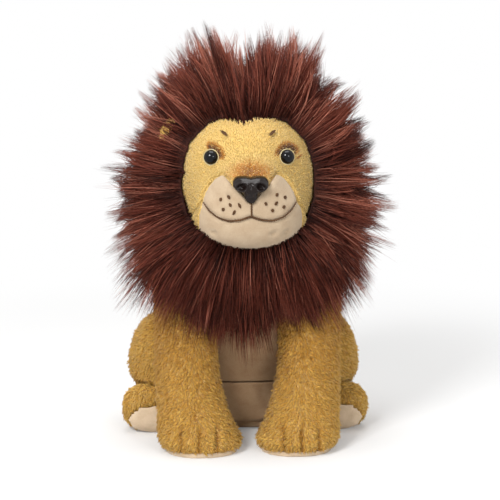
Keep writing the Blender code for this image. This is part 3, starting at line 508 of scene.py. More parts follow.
# %% Roots and leaders
def scatter(mesh, density, allowed=None):
    """Random points on a mesh, so many to the square metre, with their normals."""
    mesh.calc_loop_triangles()
    corner = np.zeros(len(mesh.loop_triangles) * 3, int)
    mesh.loop_triangles.foreach_get("vertices", corner)
    corner = corner.reshape(-1, 3)
    co, normal = places(mesh), places(mesh, "normal")
    a, b, c = (co[corner[:, k]] for k in range(3))
    area = np.linalg.norm(np.cross(b - a, c - a), axis=1) / 2
    count = int(area.sum() * density)
    chosen = corner[chance.choice(len(area), count, p=area / area.sum())]
    s, t = chance.random((2, count, 1))
    turn = s + t > 1
    s, t = np.where(turn, 1 - s, s), np.where(turn, 1 - t, t)
    shares = (1 - s - t, s, t)
    roots, out = (sum(v[chosen[:, k]] * shares[k] for k in range(3)) for v in (co, normal))
    out = unit(out)
    if allowed is not None:
        kept = allowed(roots, out)
        roots, out = roots[kept], out[kept]
    return roots, out


def tree_of(co):
    """A search tree for the nearest of some places."""
    tree = KDTree(len(co))
    for index, place in enumerate(co):
        tree.insert(place, index)
    tree.balance()
    return tree


def gaps_to(targets, co):
    """How far each place lies from the nearest of the targets."""
    tree = tree_of(targets)
    return np.array([tree.find(place)[2] for place in co])


def leaders_of(roots, spacing):
    """Which fibre leads each fibre's lock, with the leaders about a spacing apart."""
    low, high = roots.min(0), roots.max(0)
    cell = np.floor((roots - low) / spacing).astype(int)
    order = chance.permutation(len(roots))
    size = np.floor((high - low) / spacing).astype(int) + 1
    key = (cell[:, 0] * size[1] + cell[:, 1]) * size[2] + cell[:, 2]
    _, first = np.unique(key[order], return_index=True)
    leaders = order[first]
    tree = tree_of(roots[leaders])
    return leaders[np.array([tree.find(root)[1] for root in roots])]


def uneven(spread, *shape):
    """Random shares about 1, for lengths and widths that differ."""
    return 1 - spread / 2 + spread * chance.random(shape)

# %% [markdown]
# ## Short pile
# Brushed plush doesn't stand straight up. It lies along the nap, and neighbouring fibres stick
# together in small wisps, which gives the mottled look. Each fibre leans along the nap by its own
# amount, and its tip is drawn towards the tip of its wisp's leader.

# %% Growing short pile on a skin
# Fibres to the square metre, and a fibre's length and greatest half width.
PILE_DENSITY = 1.85e6
PILE_LENGTH = 3.4 * MM
PILE_WIDTH = 0.32 * MM
PILE_WISP = 1.8 * MM
# Shares of a fibre's direction: along the nap, out of the skin, by wisp and by fibre.
PILE_LEAN = 1.4
PILE_OUT = 0.70
WISP_SWING = 0.34
FIBRE_SWING = 0.14
LEAST_RISE = 0.24
# How far a tip is drawn to its leader's, how much a fibre arches, and how much tones differ.
WISP_PULL = 0.45
PILE_ARCH = 0.16
PILE_VARY = 0.06


def short_pile(
    name, skin, body, nap, tones, length=PILE_LENGTH, density=PILE_DENSITY, allowed=None,
    wisp=PILE_WISP, lean=PILE_LEAN, vary=PILE_VARY,
):
    """Short fibres on a skin, lying along its nap in small wisps."""
    roots, out = scatter(skin.data, density, allowed)
    flow = nap(roots)
    flow = unit(flow - (flow * out).sum(1, keepdims=True) * out)
    count = len(roots)
    leader = leaders_of(roots, wisp)
    stray = chance.normal(size=(count, 3))
    swing = unit(flow * lean + out * PILE_OUT + WISP_SWING * stray[leader] + FIBRE_SWING * stray)
    outward = (swing * out).sum(1, keepdims=True)
    swing = unit(swing + np.maximum(LEAST_RISE - outward, 0) * out)
    long = length * uneven(0.5, count, 1)
    tips = roots + swing * long
    tips += WISP_PULL * (tips[leader] - tips)
    middles = (roots + tips) / 2 + out * long * PILE_ARCH
    width = PILE_WIDTH * uneven(0.5, count)
    tone = tones(roots) + vary * (chance.normal(size=count) + 0.6 * stray[leader, 0])
    tone = np.clip(tone, 0.01, 0.99)
    return grow(name, TUFT, roots, middles, tips, width, tone, gold_pile, body)

# %% [markdown]
# The maker brushes the body's pile downwards. Its gold is deepened upwards by painted shade, where
# the mane shades it. Smooth steps and bumps, made of plain formulas, say where something fades in
# or out.

# %% Nap, tone and soft edges
BODY_TONE = 0.265
UPWARD_SHADE = 0.055
SHADED_HEIGHT = 90 * MM


def smooth(x):
    """A smooth step from 0 to 1."""
    x = np.clip(x, 0, 1)
    return x * x * (3 - 2 * x)


def bell(x, width):
    """A smooth bump, 1 in its middle and nearly 0 beyond twice its width."""
    return np.exp(-((x / width) ** 2))


def down(p):
    """Nap that lies straight down."""
    return np.tile([0.0, 0.0, -1.0], (len(p), 1))


def flank(p):
    """Nap on the body: down, and away from the middle."""
    flow = down(p)
    flow[:, 0] += 0.4 * np.sign(p[:, 0])
    return flow


def shaded_body_tone(p):
    """The tone of the body's gold, deepened upwards by painted shade under the mane."""
    return BODY_TONE - UPWARD_SHADE * np.clip(p[:, 2] / SHADED_HEIGHT, 0, 1)


print("gold from tone", BODY_TONE, "to", round(BODY_TONE - UPWARD_SHADE, 3))

# %% [markdown]
# ## Body
# The body is seen at its flanks, its back and between the forelegs. Its front is covered by panels
# of velour, so no pile grows there, and the skin behind them has the panels' own cloth. The pile
# stops under the collar of the mane.

# %% Torso
SKIN_INSET = 1.1 * MM
PANEL_HALF = 28.5 * MM
PANEL_BACK = -20 * MM
COLLAR_HEIGHT = 138 * MM
TORSO_LENGTH = 4.2 * MM
TORSO_DENSITY = 0.60e6


def clear_of_panels(p):
    """Where the body isn't covered by its front panels or by the floor."""
    front = (np.abs(p[:, 0]) < PANEL_HALF) & (p[:, 1] < PANEL_BACK)
    return ~front & (p[:, 2] > 1.5 * MM)


def under_collar(p, out):
    return clear_of_panels(p) & (p[:, 2] < COLLAR_HEIGHT)


torso = even_skin("torso_plush", "torso", 2.4 * MM, gold_cloth, 5, SKIN_INSET)
# The skin behind the panels gets their velour, with its painted shade.
dress_faces(torso, shaded_panel_velour, lambda p: ~clear_of_panels(p) & (p[:, 1] < 0))
short_pile("torso_nap", torso, "body", flank, shaded_body_tone, TORSO_LENGTH, TORSO_DENSITY, under_collar)

# %% [markdown]
# ## Haunches and hind feet
# The haunch has a dart, a short seam that turns the cloth round the thigh, and its nap parts there.
# The hind feet show their soles to the viewer, so no pile grows in front of the sole's seam.

# %% Haunches and hind feet
THIGH_PALER = 0.04
DART_PLACE = 67 * MM
HIND_FOOT_LENGTH = 2.8 * MM


def thigh_tone(p):
    return shaded_body_tone(p) + THIGH_PALER


def haunch_nap(side):
    """Nap on a thigh: down and towards its outside, parted along the dart."""
    def nap(p):
        flow = down(p)
        dart = (np.abs(p[:, 0]) - DART_PLACE) * 40
        flow[:, 0] += side * np.clip(dart, -0.8, 0.8)
        flow[:, 1] += 0.35
        return flow
    return nap


def off_floor(p, out):
    return (p[:, 2] > 1.2 * MM) & (out[:, 2] > -0.9)


def make_haunch(side, label):
    def outside(p, out):
        return off_floor(p, out) & (out[:, 0] * side > -0.75)

    haunch = even_skin(f"haunch_{label}_plush", f"haunch_{label}", 2.2 * MM, gold_cloth, 5, SKIN_INSET)
    nap = haunch_nap(side)
    name = f"haunch_{label}_nap"
    short_pile(name, haunch, "body", nap, thigh_tone, density=1.7e6, allowed=outside)


def make_hind_foot(label):
    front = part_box(f"hind_foot_{label}")[0].y + 1.6 * MM

    def behind_seam(p, out):
        return off_floor(p, out) & (p[:, 1] > front)

    foot = even_skin(f"hind_foot_{label}_plush", f"hind_foot_{label}", 1.8 * MM, gold_cloth, 4, SKIN_INSET)
    name = f"hind_foot_{label}_nap"
    short_pile(name, foot, "body", flank, thigh_tone, HIND_FOOT_LENGTH, allowed=behind_seam)
    sole = even_skin(f"hind_sole_{label}_velour", f"hind_sole_{label}", 1.1 * MM, sole_velour, 2, 0)


for side, label in ((-1, "left"), (1, "right")):
    make_haunch(side, label)
    make_hind_foot(label)

# %% [markdown]
# ## Forelegs
# The forelegs stand straight and end in broad paws. Three short stitches pull the front of each
# paw in, which makes its toes, so the skin is dented along three lines there, and painted shade
# darkens those lines. The nap parts along the leg's front. Painted light makes the paw a little paler
# than the body, and painted shade deepens the gold upwards more steeply than the body's.

# %% Forelegs
TOE_SPACING = 12.0 * MM
TOE_DEPTH = 3.0 * MM
TOE_WIDTH = 1.4 * MM
TOE_TOP = 24 * MM
TOE_BACK = -58 * MM
# Painted shade in the toe lines, painted light that pales the leg, and painted shade that deepens it
# upwards.
TOE_SHADE = 0.20
FORELEG_LIT_PALER = 0.03
FORELEG_SHADE = 0.085
FORELEG_TOP = 132 * MM


def toe_marks(p, centre_x):
    """How deep each point lies in a toe line, from 0 to 1."""
    depth = np.zeros(len(p))
    for place in (-1, 0, 1):
        depth = np.maximum(depth, bell(p[:, 0] - centre_x - place * TOE_SPACING, TOE_WIDTH))
    front = np.clip((TOE_BACK - p[:, 1]) / (12 * MM), 0, 1)
    below_top = np.clip((TOE_TOP - p[:, 2]) / (6 * MM), 0, 1)
    above_sole = np.clip((p[:, 2] - 3 * MM) / (4 * MM), 0, 1)
    return depth * front * (below_top * above_sole)


def make_foreleg(label):
    low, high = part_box(f"foreleg_{label}")
    centre_x = (low.x + high.x) / 2

    def nap(p):
        flow = down(p)
        flow[:, 0] += 0.75 * np.clip((p[:, 0] - centre_x) / (9 * MM), -1, 1)
        return flow

    def tone(p):
        # Painted light pales the leg, and painted shade deepens it upwards and in the toe lines.
        paler = shaded_body_tone(p) + FORELEG_LIT_PALER
        return paler - FORELEG_SHADE * p[:, 2] / SHADED_HEIGHT - TOE_SHADE * toe_marks(p, centre_x)

    def clear(p, out):
        return (p[:, 2] > 2.2 * MM) & (out[:, 2] > -0.92) & (p[:, 2] < FORELEG_TOP)

    leg = even_skin(f"foreleg_{label}_plush", f"foreleg_{label}", 1.8 * MM, gold_cloth, 5, SKIN_INSET)
    co, normal = places(leg.data), places(leg.data, "normal")
    move_to(leg, co - normal * (TOE_DEPTH * toe_marks(co, centre_x))[:, None])
    short_pile(f"foreleg_{label}_nap", leg, body_of(f"foreleg_{label}"), nap, tone, allowed=clear)

# %% [markdown]
# The seam draws a sole in under its paw, and the stuffing makes it plump, so that it fills the
# space up to the paw and shows as a thin cream crescent.

# %% Soles of the forepaws
SOLE_DRAW = np.array((0.94, 0.94, 1.0))
SOLE_PLUMP = 1.3 * MM
SOLE_RIM = 0.6 * MM


def make_forepaw_sole(label):
    sole = even_skin(f"forepaw_sole_{label}_velour", f"forepaw_sole_{label}", 1.1 * MM, sole_velour, 2, 0)
    co = places(sole.data)
    middle = (co.min(0) + co.max(0)) / 2
    co = middle + (co - middle) * SOLE_DRAW
    co[:, 2] += SOLE_PLUMP * smooth((co[:, 2] - middle[2]) / SOLE_RIM + 0.5)
    move_to(sole, co)


for label in ("left", "right"):
    make_foreleg(label)
    make_forepaw_sole(label)

# %% [markdown]
# ## Panels of velour
# The breast, the belly and the seat are flat-woven panels let into the body, in a cream velour
# darkened by painted shade. Their skins are smoothed only a little, so that the seams between them
# stay as creases.

# %% Breast, belly, seat and the bag of pellets
for node in ("chest_panel", "belly_panel", "seat_panel"):
    even_skin(f"{node}_velour", node, 1.4 * MM, shaded_panel_velour, 3, 0)
bag = even_skin("pellet_bag_cloth", "pellet_bag", 2.0 * MM, bag_cloth, 2, 0)
print(bag.name, len(bag.data.polygons), "faces")

# %% [markdown]
# ## Head
# The head is one stuffed form: a skull, a snout and the bridge of the nose, which flow into each
# other. Its solid has flat facets, so the skin is made afresh: a sphere of even triangles, each of
# whose corners is moved out along its own ray until it meets the form.

# %% The form of the head
neck_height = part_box("head")[0].z - 0.2 * MM
HEAD_WIDTH = 100 * MM
HEAD_Z = neck_height + 48 * MM
SKULL_Y = -42 * MM
SNOUT_Y = -69 * MM
# Each part's middle, its size, and the power that squares its corners.
SKULL = ((0, SKULL_Y, HEAD_Z), (HEAD_WIDTH, 92 * MM, 100 * MM), 2.3)
SNOUT = ((0, SNOUT_Y, HEAD_Z - 21 * MM), (78 * MM, 72 * MM, 54 * MM), 2.3)
BRIDGE = ((0, SNOUT_Y, HEAD_Z - 2.5 * MM), (46 * MM, 70 * MM, 34 * MM), 2.3)
BLEND_POWER = 9
HEAD_MIDDLE = np.array([0, -55.5 * MM, HEAD_Z - 10.5 * MM])
HALVINGS = 24


def fullness(p):
    """Over 1 inside the head's form and under 1 outside it."""
    total = 0
    for centre, size, power in (SKULL, SNOUT, BRIDGE):
        away = p - np.array(centre)
        far = np.maximum(np.linalg.norm(away, axis=-1), 0.1 * MM)
        way = away / far[..., None]
        reach = (np.abs(2 * way / np.array(size)) ** power).sum(-1) ** (-1 / power)
        total = total + (reach / far) ** BLEND_POWER
    return total ** (1 / BLEND_POWER)


def meet(start, way, furthest):
    """Where rays from inside the head leave it."""
    low, high = np.zeros(len(way)), np.full(len(way), furthest)
    for _ in range(HALVINGS):
        middle = (low + high) / 2
        inside = fullness(start + way * middle[:, None]) > 1
        low, high = np.where(inside, middle, low), np.where(inside, high, middle)
    return start + way * low[:, None]


def face_point(x, z):
    """The point of the face at a place across and up."""
    start = np.array([[x, SKULL_Y, z]])
    return meet(start, np.array([[0.0, -1.0, 0.0]]), HEAD_WIDTH)[0]


print("face reaches forward to", round(face_point(0, HEAD_Z - 21 * MM)[1] / MM, 1), "mm")

# %% [markdown]
# The skin keeps away from the eyes, which sit in shallow sockets, and is pinched above the nose
# where the bridge's seam ends. The mane opens on the face along the hairline, which is round below
# and squarer above, and a little wider than it is high.

# %% The head's skin
EYE_ACROSS = 26.3 * MM
EYE_UP = 17.8 * MM
EYE_PLACES = [Vector((side * EYE_ACROSS, 0, HEAD_Z + EYE_UP)) for side in (-1, 1)]
SOCKET_DEPTH, SOCKET_WIDTH = 0.9 * MM, 8.5 * MM
PINCH_DEPTH, PINCH_WIDTH, PINCH_RISE = 1.3 * MM, 1.3 * MM, 4.0 * MM
PINCH_Z = HEAD_Z + 11 * MM
# Half the opening of the mane, across and up, in millimetres.
OPENING = (47.8, 43.8)


def softened(p, out):
    """Sockets round the eyes and a short upright crease above the nose."""
    depth = np.zeros(len(p))
    for eye in EYE_PLACES:
        off = np.hypot(p[:, 0] - eye.x, p[:, 2] - eye.z)
        depth += SOCKET_DEPTH * bell(off, SOCKET_WIDTH)
    depth += PINCH_DEPTH * bell(p[:, 0], PINCH_WIDTH) * bell(p[:, 2] - PINCH_Z, PINCH_RISE)
    return p - out * (depth * (p[:, 1] < -55 * MM))[:, None]


def hairline(p):
    """Under 1 inside the opening of the mane, whose top dips to a peak off the middle."""
    x, z = p[:, 0] / MM - 1.0, (p[:, 2] - HEAD_Z) / MM
    power = np.where(z > 0, 2.6, 2.0)
    edge = (np.abs(x / OPENING[0]) ** power + np.abs(z / OPENING[1]) ** power) ** (1 / power)
    return edge + 0.108 * bell(x + 3.4, 8.6) * (z > 0)


def make_head():
    bm = bmesh.new()
    bmesh.ops.create_icosphere(bm, subdivisions=6, radius=1.0)
    made = shown("head_plush", bm, face_cloth)
    move_to(made, meet(HEAD_MIDDLE, unit(places(made.data)), 2 * HEAD_WIDTH))
    out = places(made.data, "normal")
    co = softened(places(made.data), out) - 0.7 * MM * out
    co[:, 2] = np.maximum(co[:, 2], neck_height)
    move_to(made, co)
    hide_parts("head")
    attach(made, "head_body")
    return made


head = make_head()
print("head skin", len(head.data.polygons), "faces")

# %% [markdown]
# ## Cheek patches and chin
# Velour patches are sewn into the snout. Each one takes its outline from its solid, and its outer
# side is laid on the head's smooth form and puffed up a little between its seams. The head's own
# skin is tucked in under them.

# %% Patches laid on the face
PUFF = 0.9 * MM
TUCK = 1.8 * MM
# A patch's outer side is where the head's form is less full than this.
OUTER_SIDE = 1.022


def laid_on_face(made, puff):
    """Move a patch's outer side to the head's form, and puff it away from its rim."""
    co = places(made.data)
    outer = fullness(co) < OUTER_SIDE
    way = unit(co - HEAD_MIDDLE)
    ground = meet(HEAD_MIDDLE, way, 2 * HEAD_WIDTH)
    rim = gaps_to(co[~outer], co)
    rise = puff * np.clip((rim - 1.5 * MM) / (4 * MM), 0, 1) ** 0.5
    co[outer] = (ground + way * rise[:, None])[outer]
    return move_to(made, co)


def tucked_under(made, patch):
    """Draw the head's skin in under a patch, so that it doesn't come through."""
    co, out = places(made.data), places(made.data, "normal")
    near = gaps_to(places(patch.data), co)
    return move_to(made, co - out * (TUCK * smooth((2.6 * MM - near) / (1.0 * MM)))[:, None])

# %% [markdown]
# The gold of the cheeks laps over the corners of the chin, so the chin's skin has two cloths. Beyond
# the hairline both skins have the mane's dark brown, deepened by painted shade under the mane that
# covers them. The muzzle has a cleft where the stem of the nose sits, and the head's skin keeps out of it.

# %% Muzzle and chin
MOUTH_CORNER = HEAD_Z - 11.6 * MM
CLEFT_DEPTH = 2.2 * MM


def jowl(p):
    """Where the gold of the cheeks laps over the corners of the chin."""
    drop = np.clip((MOUTH_CORNER - p[:, 2]) / (10 * MM), 0, 1)
    beside = np.abs(p[:, 0] - 0.8 * MM) > (33.2 + 2.6 * drop) * MM
    return beside & (p[:, 2] < MOUTH_CORNER + 4 * MM)


def under_mane(edge):
    """A test for what lies beyond a share of the hairline."""
    return lambda p: (hairline(p) > edge) | (p[:, 1] > -40 * MM)


def under_nose(p):
    """The cleft of the muzzle, where the nose's stem sits."""
    up = p[:, 2] - HEAD_Z
    return (np.abs(p[:, 0]) < 11 * MM) & (up < 3 * MM) & (up > -13 * MM) & (p[:, 1] < -80 * MM)


dress_faces(head, mane_shade_cloth, under_mane(1.03))
head_places = places(head.data)
move_to(head, head_places + np.outer(under_nose(head_places), (0, CLEFT_DEPTH, 0)))
patches = {}
for node in ("muzzle", "chin"):
    patch = even_skin(f"{node}_velour", node, 0.9 * MM, cream_velour, 1, 0)
    laid_on_face(patch, PUFF)
    tucked_under(head, patch)
    patches[node] = patch
    print(patch.name, len(patch.data.polygons), "faces")
dress_faces(patches["chin"], face_cloth, jowl)
dress_faces(patches["chin"], mane_shade_cloth, under_mane(1.05))

# %% [markdown]
# ## Sprayed brown
# The maker sprays brown above the nose and in an arc beside each eye. The spray is a change of tone
# of the fibres that it reaches, so it is a number for each place on the face.

# %% Sprayed brown
FACE_TONE = 0.450
# Each eye's arc: where it starts and stops, in degrees, and its outer reach in millimetres.
ARCS = ((EYE_PLACES[0], -30, 125, 11.0), (EYE_PLACES[1], -5, 195, 10.5))
ARC_START = 5.0
ARC_STRENGTH = 0.86
# Spots above the nose and beside the right eye: strength, middle across and up, half width, half
# height and slope, in millimetres.
SPRAYED_SPOTS = (
    (0.50, 0.0, 8.0, 14.5, 7.5, 0.0),
    (0.55, 0.0, 13.0, 1.0, 4.0, 0.0),
    (0.60, 34.6, 16.6, 2.6, 0.9, 0.55),
)


def sprayed(p):
    """How much brown each point of the face got, from 0 to 1."""
    x, z = p[:, 0] / MM, (p[:, 2] - HEAD_Z) / MM
    total = np.zeros(len(p))
    for strength, across, up, wide, high, slope in SPRAYED_SPOTS:
        off = x - across
        total = np.maximum(total, strength * bell(off, wide) * bell(z - up - off * slope, high))
    for eye, start, stop, end in ARCS:
        dx, dz = x - eye.x / MM, (p[:, 2] - eye.z) / MM
        turn, reach = np.degrees(np.arctan2(dz, dx)), np.hypot(dx, dz)
        within = smooth((turn - start) / 35) * smooth((stop - turn) / 35)
        ring = np.clip((end - reach) / (end - ARC_START), 0, 1) ** 0.7
        total = np.maximum(total, ARC_STRENGTH * within * ring)
    return total


def face_tone(p):
    return FACE_TONE + sprayed(p) * (1 - FACE_TONE)

# %% [markdown]
# ## Pile of the face
# The face has a shorter and finer pile than the body, brushed up and out from the nose. It stops at
# the patches, the eyes and the cleft, and runs on a little way under the mane.

# %% Pile of the face
FACE_LENGTH = 1.9 * MM
FACE_WISP = 1.1 * MM
FACE_LEAN = 2.2
FACE_VARY = 0.022
# How far under the mane the pile runs, as a share of the hairline.
FACE_EDGE = 1.04
NAP_START = np.array([0, -110 * MM, HEAD_Z - 4 * MM])


def face_nap(p):
    """Nap of the face: up and out from the tip of the nose."""
    return unit(p - NAP_START)


def on_face(p):
    return (hairline(p) < FACE_EDGE) & (p[:, 1] < -30 * MM)


def bare_face(p, out):
    """Where the head is gold: inside the hairline, and clear of patches, eyes and nose."""
    kept = on_face(p) & ~under_nose(p)
    for eye in EYE_PLACES:
        kept &= np.hypot(p[:, 0] - eye.x, p[:, 2] - eye.z) > 5.1 * MM
    found = np.flatnonzero(kept)
    velour = np.concatenate([places(patch.data) for patch in patches.values()])
    kept[found] = gaps_to(velour, p[found]) > 0.9 * MM
    return kept


def on_jowl(p, out):
    return jowl(p) & on_face(p)


for name, skin, density, allowed in (
    ("head_nap", head, 3.8e6, bare_face),
    ("jowl_nap", patches["chin"], 4.2e6, on_jowl),
):
    short_pile(
        name, skin, "head_body", face_nap, face_tone, FACE_LENGTH, density, allowed,
        FACE_WISP, FACE_LEAN, FACE_VARY,
    )

# %% [markdown]
# ## Ears
# The small round ears stand in the mane and show only where its strands part.

# %% Ears
EAR_TONE = 0.36


def ear_nap(p):
    """Nap of an ear: up and outwards."""
    flow = down(p) * -1
    flow[:, 0] += 0.6 * np.sign(p[:, 0])
    return flow


def ear_tone(p):
    return np.full(len(p), EAR_TONE)


for label in ("left", "right"):
    ear = even_skin(f"ear_{label}_plush", f"ear_{label}", 1.1 * MM, gold_cloth, 3, 0.6 * MM)
    short_pile(f"ear_{label}_nap", ear, "head_body", ear_nap, ear_tone, 2.2 * MM, 1.4e6)

# %% [markdown]
# ## Nose
# The nose is a hard moulding: two lobes, each with a deep nostril, and a stem that tapers to the
# lip. It starts as a sphere, whose corners are moved to the outline and then pressed in.

# %% The nose's shape
# The outline from its top round one side: turns from the top in degrees, and reaches.
NOSE_OUTLINE = np.array((
    (0, 5.0), (22, 5.9), (44, 8.0), (64, 11.2), (80, 12.4), (98, 12.3),
    (112, 10.9), (127, 8.8), (141, 8.4), (157, 10.6), (170, 13.2), (180, 14.0),
))
NOSE_FLATTER = 0.93
# How far the lobes and the stem rise out of the face, and the rear goes in, in millimetres.
LOBE_RISE, STEM_RISE, REAR_DEPTH = 7.2, 3.4, 3.0
# A nostril's middle across and up and its size, and how deep or high its parts and the groove are.
NOSTRIL_ACROSS, NOSTRIL_UP, NOSTRIL_WIDE, NOSTRIL_HIGH = 6.4, -1.3, 2.9, 2.2
NOSTRIL_DEPTH, NOSTRIL_RIM, NOSTRIL_KNOB, GROOVE_DEPTH = 4.4, 1.0, 2.0, 0.9


def nose_shape(co):
    """Turn a unit sphere into the nose: places across, up and out of the face, in millimetres."""
    turn = np.degrees(np.arctan2(np.abs(co[:, 0]), co[:, 1]))
    reach = np.interp(turn, NOSE_OUTLINE[:, 0], NOSE_OUTLINE[:, 1])
    spread = np.hypot(co[:, 0], co[:, 1]) ** 0.75
    way = unit(co[:, :2])
    x, y = way[:, 0] * reach * spread, NOSE_FLATTER * way[:, 1] * reach * spread
    front = co[:, 2] > 0.0
    rise = STEM_RISE + (LOBE_RISE - STEM_RISE) * smooth((y + 9.4) / 6.0)
    out = np.where(front, rise * np.clip(co[:, 2], 0, 1) ** 0.62, REAR_DEPTH * co[:, 2])
    u, v = (np.abs(x) - NOSTRIL_ACROSS) / NOSTRIL_WIDE, (y - NOSTRIL_UP) / NOSTRIL_HIGH
    off = np.hypot(u + 0.3 * v, v)
    out -= front * NOSTRIL_DEPTH * np.exp(-(off**2) * 1.5)
    out += front * NOSTRIL_RIM * bell(off - 1.45, 0.32)
    out += front * NOSTRIL_KNOB * bell(np.hypot(u - 0.1, v + 0.15), 0.36)
    below = smooth((2.0 - y) / 4.0) * smooth((y + 7.5) / 3.0)
    out -= front * GROOVE_DEPTH * bell(x, 1.3) * below
    return x, y, out


print("nose's reach from", NOSE_OUTLINE[0, 1], "mm above to", NOSE_OUTLINE[-1, 1], "mm below")

# %% [markdown]
# The nose follows the face under it, so that its stem isn't buried in the lip. The washers behind
# the nose and the eyes keep their solids, and only get their plastic.

# %% Nose and washers
NOSE_MIDDLE = HEAD_Z + 2.0 * MM
NOSE_FRONT = -112.2 * MM


def make_nose():
    bm = bmesh.new()
    bmesh.ops.create_uvsphere(bm, u_segments=128, v_segments=64, radius=1.0)
    made = shown("nose_moulding", bm, nose_plastic)
    x, y, out = nose_shape(places(made.data))
    start = np.stack([x * MM, np.full(len(x), SKULL_Y), NOSE_MIDDLE + y * MM], 1)
    base = meet(start, np.tile([0.0, -1.0, 0.0], (len(x), 1)), HEAD_WIDTH)
    base[:, 1] -= (out + 0.8 * smooth((4 - y) / 8)) * MM
    base[:, 1] = np.maximum(base[:, 1], NOSE_FRONT)
    move_to(made, base)
    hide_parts("nose")
    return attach(made, "head_body")


nose = make_nose()
for node in ("nose_washer", "eye_washer_left", "eye_washer_right"):
    for slot in frame["nodes"][node].material_slots:
        slot.material = washer_plastic
print("nose reaches", round(min(places(nose.data)[:, 1]) / MM, 1), "mm")

# %% [markdown]
# ## Eyes
# A safety eye is a glossy dome on a post, with a pale ring where its colour shows at the rim. Both
# are turned from a profile round the eye's axis.

# %% Eyes
EYE_RADIUS = 5.05 * MM
EYE_RISE = 4.6 * MM
EYE_EDGE = 0.5 * MM
POST_RADIUS, POST_LENGTH = 1.8 * MM, 9 * MM
# The rim's ring: how far out its section's middle lies, how high, and its half width and height.
RING_OUT, RING_UP, RING_WIDE, RING_HIGH = 5.38 * MM, 0.75 * MM, 0.34 * MM, 0.42 * MM
# How far an eye looks outwards and upwards, in degrees.
EYE_OUTWARD, EYE_UPWARD = 17, 8


def turned(name, profile, material):
    """A body turned round +Z from a profile of radii and heights."""
    bm = bmesh.new()
    verts = [bm.verts.new((radius, 0, height)) for radius, height in profile]
    edges = [bm.edges.new(pair) for pair in zip(verts, verts[1:])]
    bmesh.ops.spin(
        bm, geom=[*verts, *edges], cent=(0, 0, 0), axis=(0, 0, 1), angle=math.tau, steps=64,
        use_merge=True,
    )
    bmesh.ops.remove_doubles(bm, verts=bm.verts, dist=0.005 * MM)
    bmesh.ops.recalc_face_normals(bm, faces=bm.faces)
    return shown(name, bm, material)


def make_eye(label, side):
    place = face_point(side * EYE_ACROSS, HEAD_Z + EYE_UP) + np.array([0, 1.0 * MM, 0])
    outward = Matrix.Rotation(side * math.radians(EYE_OUTWARD), 3, "Z")
    turn = outward @ Matrix.Rotation(math.radians(-EYE_UPWARD), 3, "X")
    turn = np.array(turn @ Matrix.Rotation(math.pi / 2, 3, "X"))
    arc = [math.pi / 2 * step / 14 for step in range(15)]
    dome = [(EYE_RADIUS * math.cos(a), EYE_EDGE + EYE_RISE * math.sin(a)) for a in arc]
    dome[-1] = (0, dome[-1][1])
    post = [(0, -POST_LENGTH), (POST_RADIUS, -POST_LENGTH), (POST_RADIUS, 0), (EYE_RADIUS, 0)]
    eye = turned(f"eye_{label}_dome", [*post, *dome], eye_plastic)
    round_ring = [math.tau * step / 12 for step in range(13)]
    rim = [(RING_OUT + RING_WIDE * math.cos(a), RING_UP + RING_HIGH * math.sin(a)) for a in round_ring]
    ring = turned(f"eye_{label}_ring", rim, ring_plastic)
    for made in (eye, ring):
        move_to(made, places(made.data) @ turn.T + place)
        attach(made, "head_body")
    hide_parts(f"eye_{label}")
    print(eye.name, len(eye.data.polygons), "faces")


for side, label in ((-1, "left"), (1, "right")):
    make_eye(label, side)

# %% [markdown]
# ## Stitches
# The mouth, the brows and the whisker spots are sewn with brown thread. A stitch is a short rounded
# rod that lies on the cloth. A few of them side by side make a spot or a brow.

# %% One stitch, and a few side by side
def stitch_into(bm, start, end, width, lift):
    """Lay one stitch between two places of the face, given across and up."""
    a, b = (face_point(*place) for place in (start, end))
    out = unit(np.array([0, -1.0, 0]) * 0.8 + unit((a + b) / 2 - HEAD_MIDDLE) * 0.6)
    a, b = a + out * lift, b + out * lift
    ahead = Vector(b - a)
    turn = ahead.to_track_quat("Z", "Y").to_matrix().to_4x4()
    size = Matrix.Diagonal((width, width, ahead.length / 2, 1))
    place = Matrix.Translation(Vector((a + b) / 2)) @ turn @ size
    bmesh.ops.create_uvsphere(bm, u_segments=8, v_segments=6, radius=1.0, matrix=place)


def sew_row(bm, x, z, slope, lengths, gap, width, lift):
    """Parallel stitches, one above another, about a place across and up."""
    for index, length in enumerate(lengths):
        up = z + (index - (len(lengths) - 1) / 2) * gap
        half = length / 2 * (0.9 + 0.2 * chance.random())
        start, end = (x - half, up - half * slope), (x + half, up + half * slope)
        stitch_into(bm, start, end, width, lift)


# A whisker spot and a brow: the stitches' lengths, spacing, half width and height.
SPOT = ((1.8 * MM, 2.5 * MM, 1.9 * MM), 0.72 * MM, 0.52 * MM, 1.0 * MM)
BROW = ((4.2 * MM, 5.4 * MM, 4.0 * MM), 0.65 * MM, 0.5 * MM, 1.9 * MM)
print("stitches in a spot", len(SPOT[0]), "and in a brow", len(BROW[0]))

# %% [markdown]
# The mouth is a row of longer stitches, each turned a little, that gets thinner towards its corners.
# A short upright row joins it to the nose.

# %% Embroidery of the face
MUZZLE_HALF = 32 * MM
MOUTH_FOOT = HEAD_Z - 23.3 * MM
MOUTH_RISE = 30 * MM
MOUTH_STITCHES = 23
# The mouth from its middle to its corner, in shares of the muzzle's half width and of its rise.
MOUTH_LINE = ((0.00, 0.11), (0.22, 0.03), (0.47, 0.00), (0.69, 0.07), (0.88, 0.21), (1.00, 0.39))
# Whisker spots on each side, across and above the mouth's foot, in millimetres.
SPOTS_LEFT = ((-20.3, 14.5), (-15.0, 16.4), (-14.1, 11.1), (-7.8, 10.9), (-18.8, 7.9), (-11.5, 6.1))
SPOTS_RIGHT = ((17.9, 17.4), (23.7, 15.2), (10.1, 11.9), (17.3, 11.8), (22.7, 9.0), (14.7, 7.2))
# The brows, across and above the head's middle, and their slopes.
BROWS = ((-16.9, 33.6, -0.55), (15.9, 33.6, 0.6))


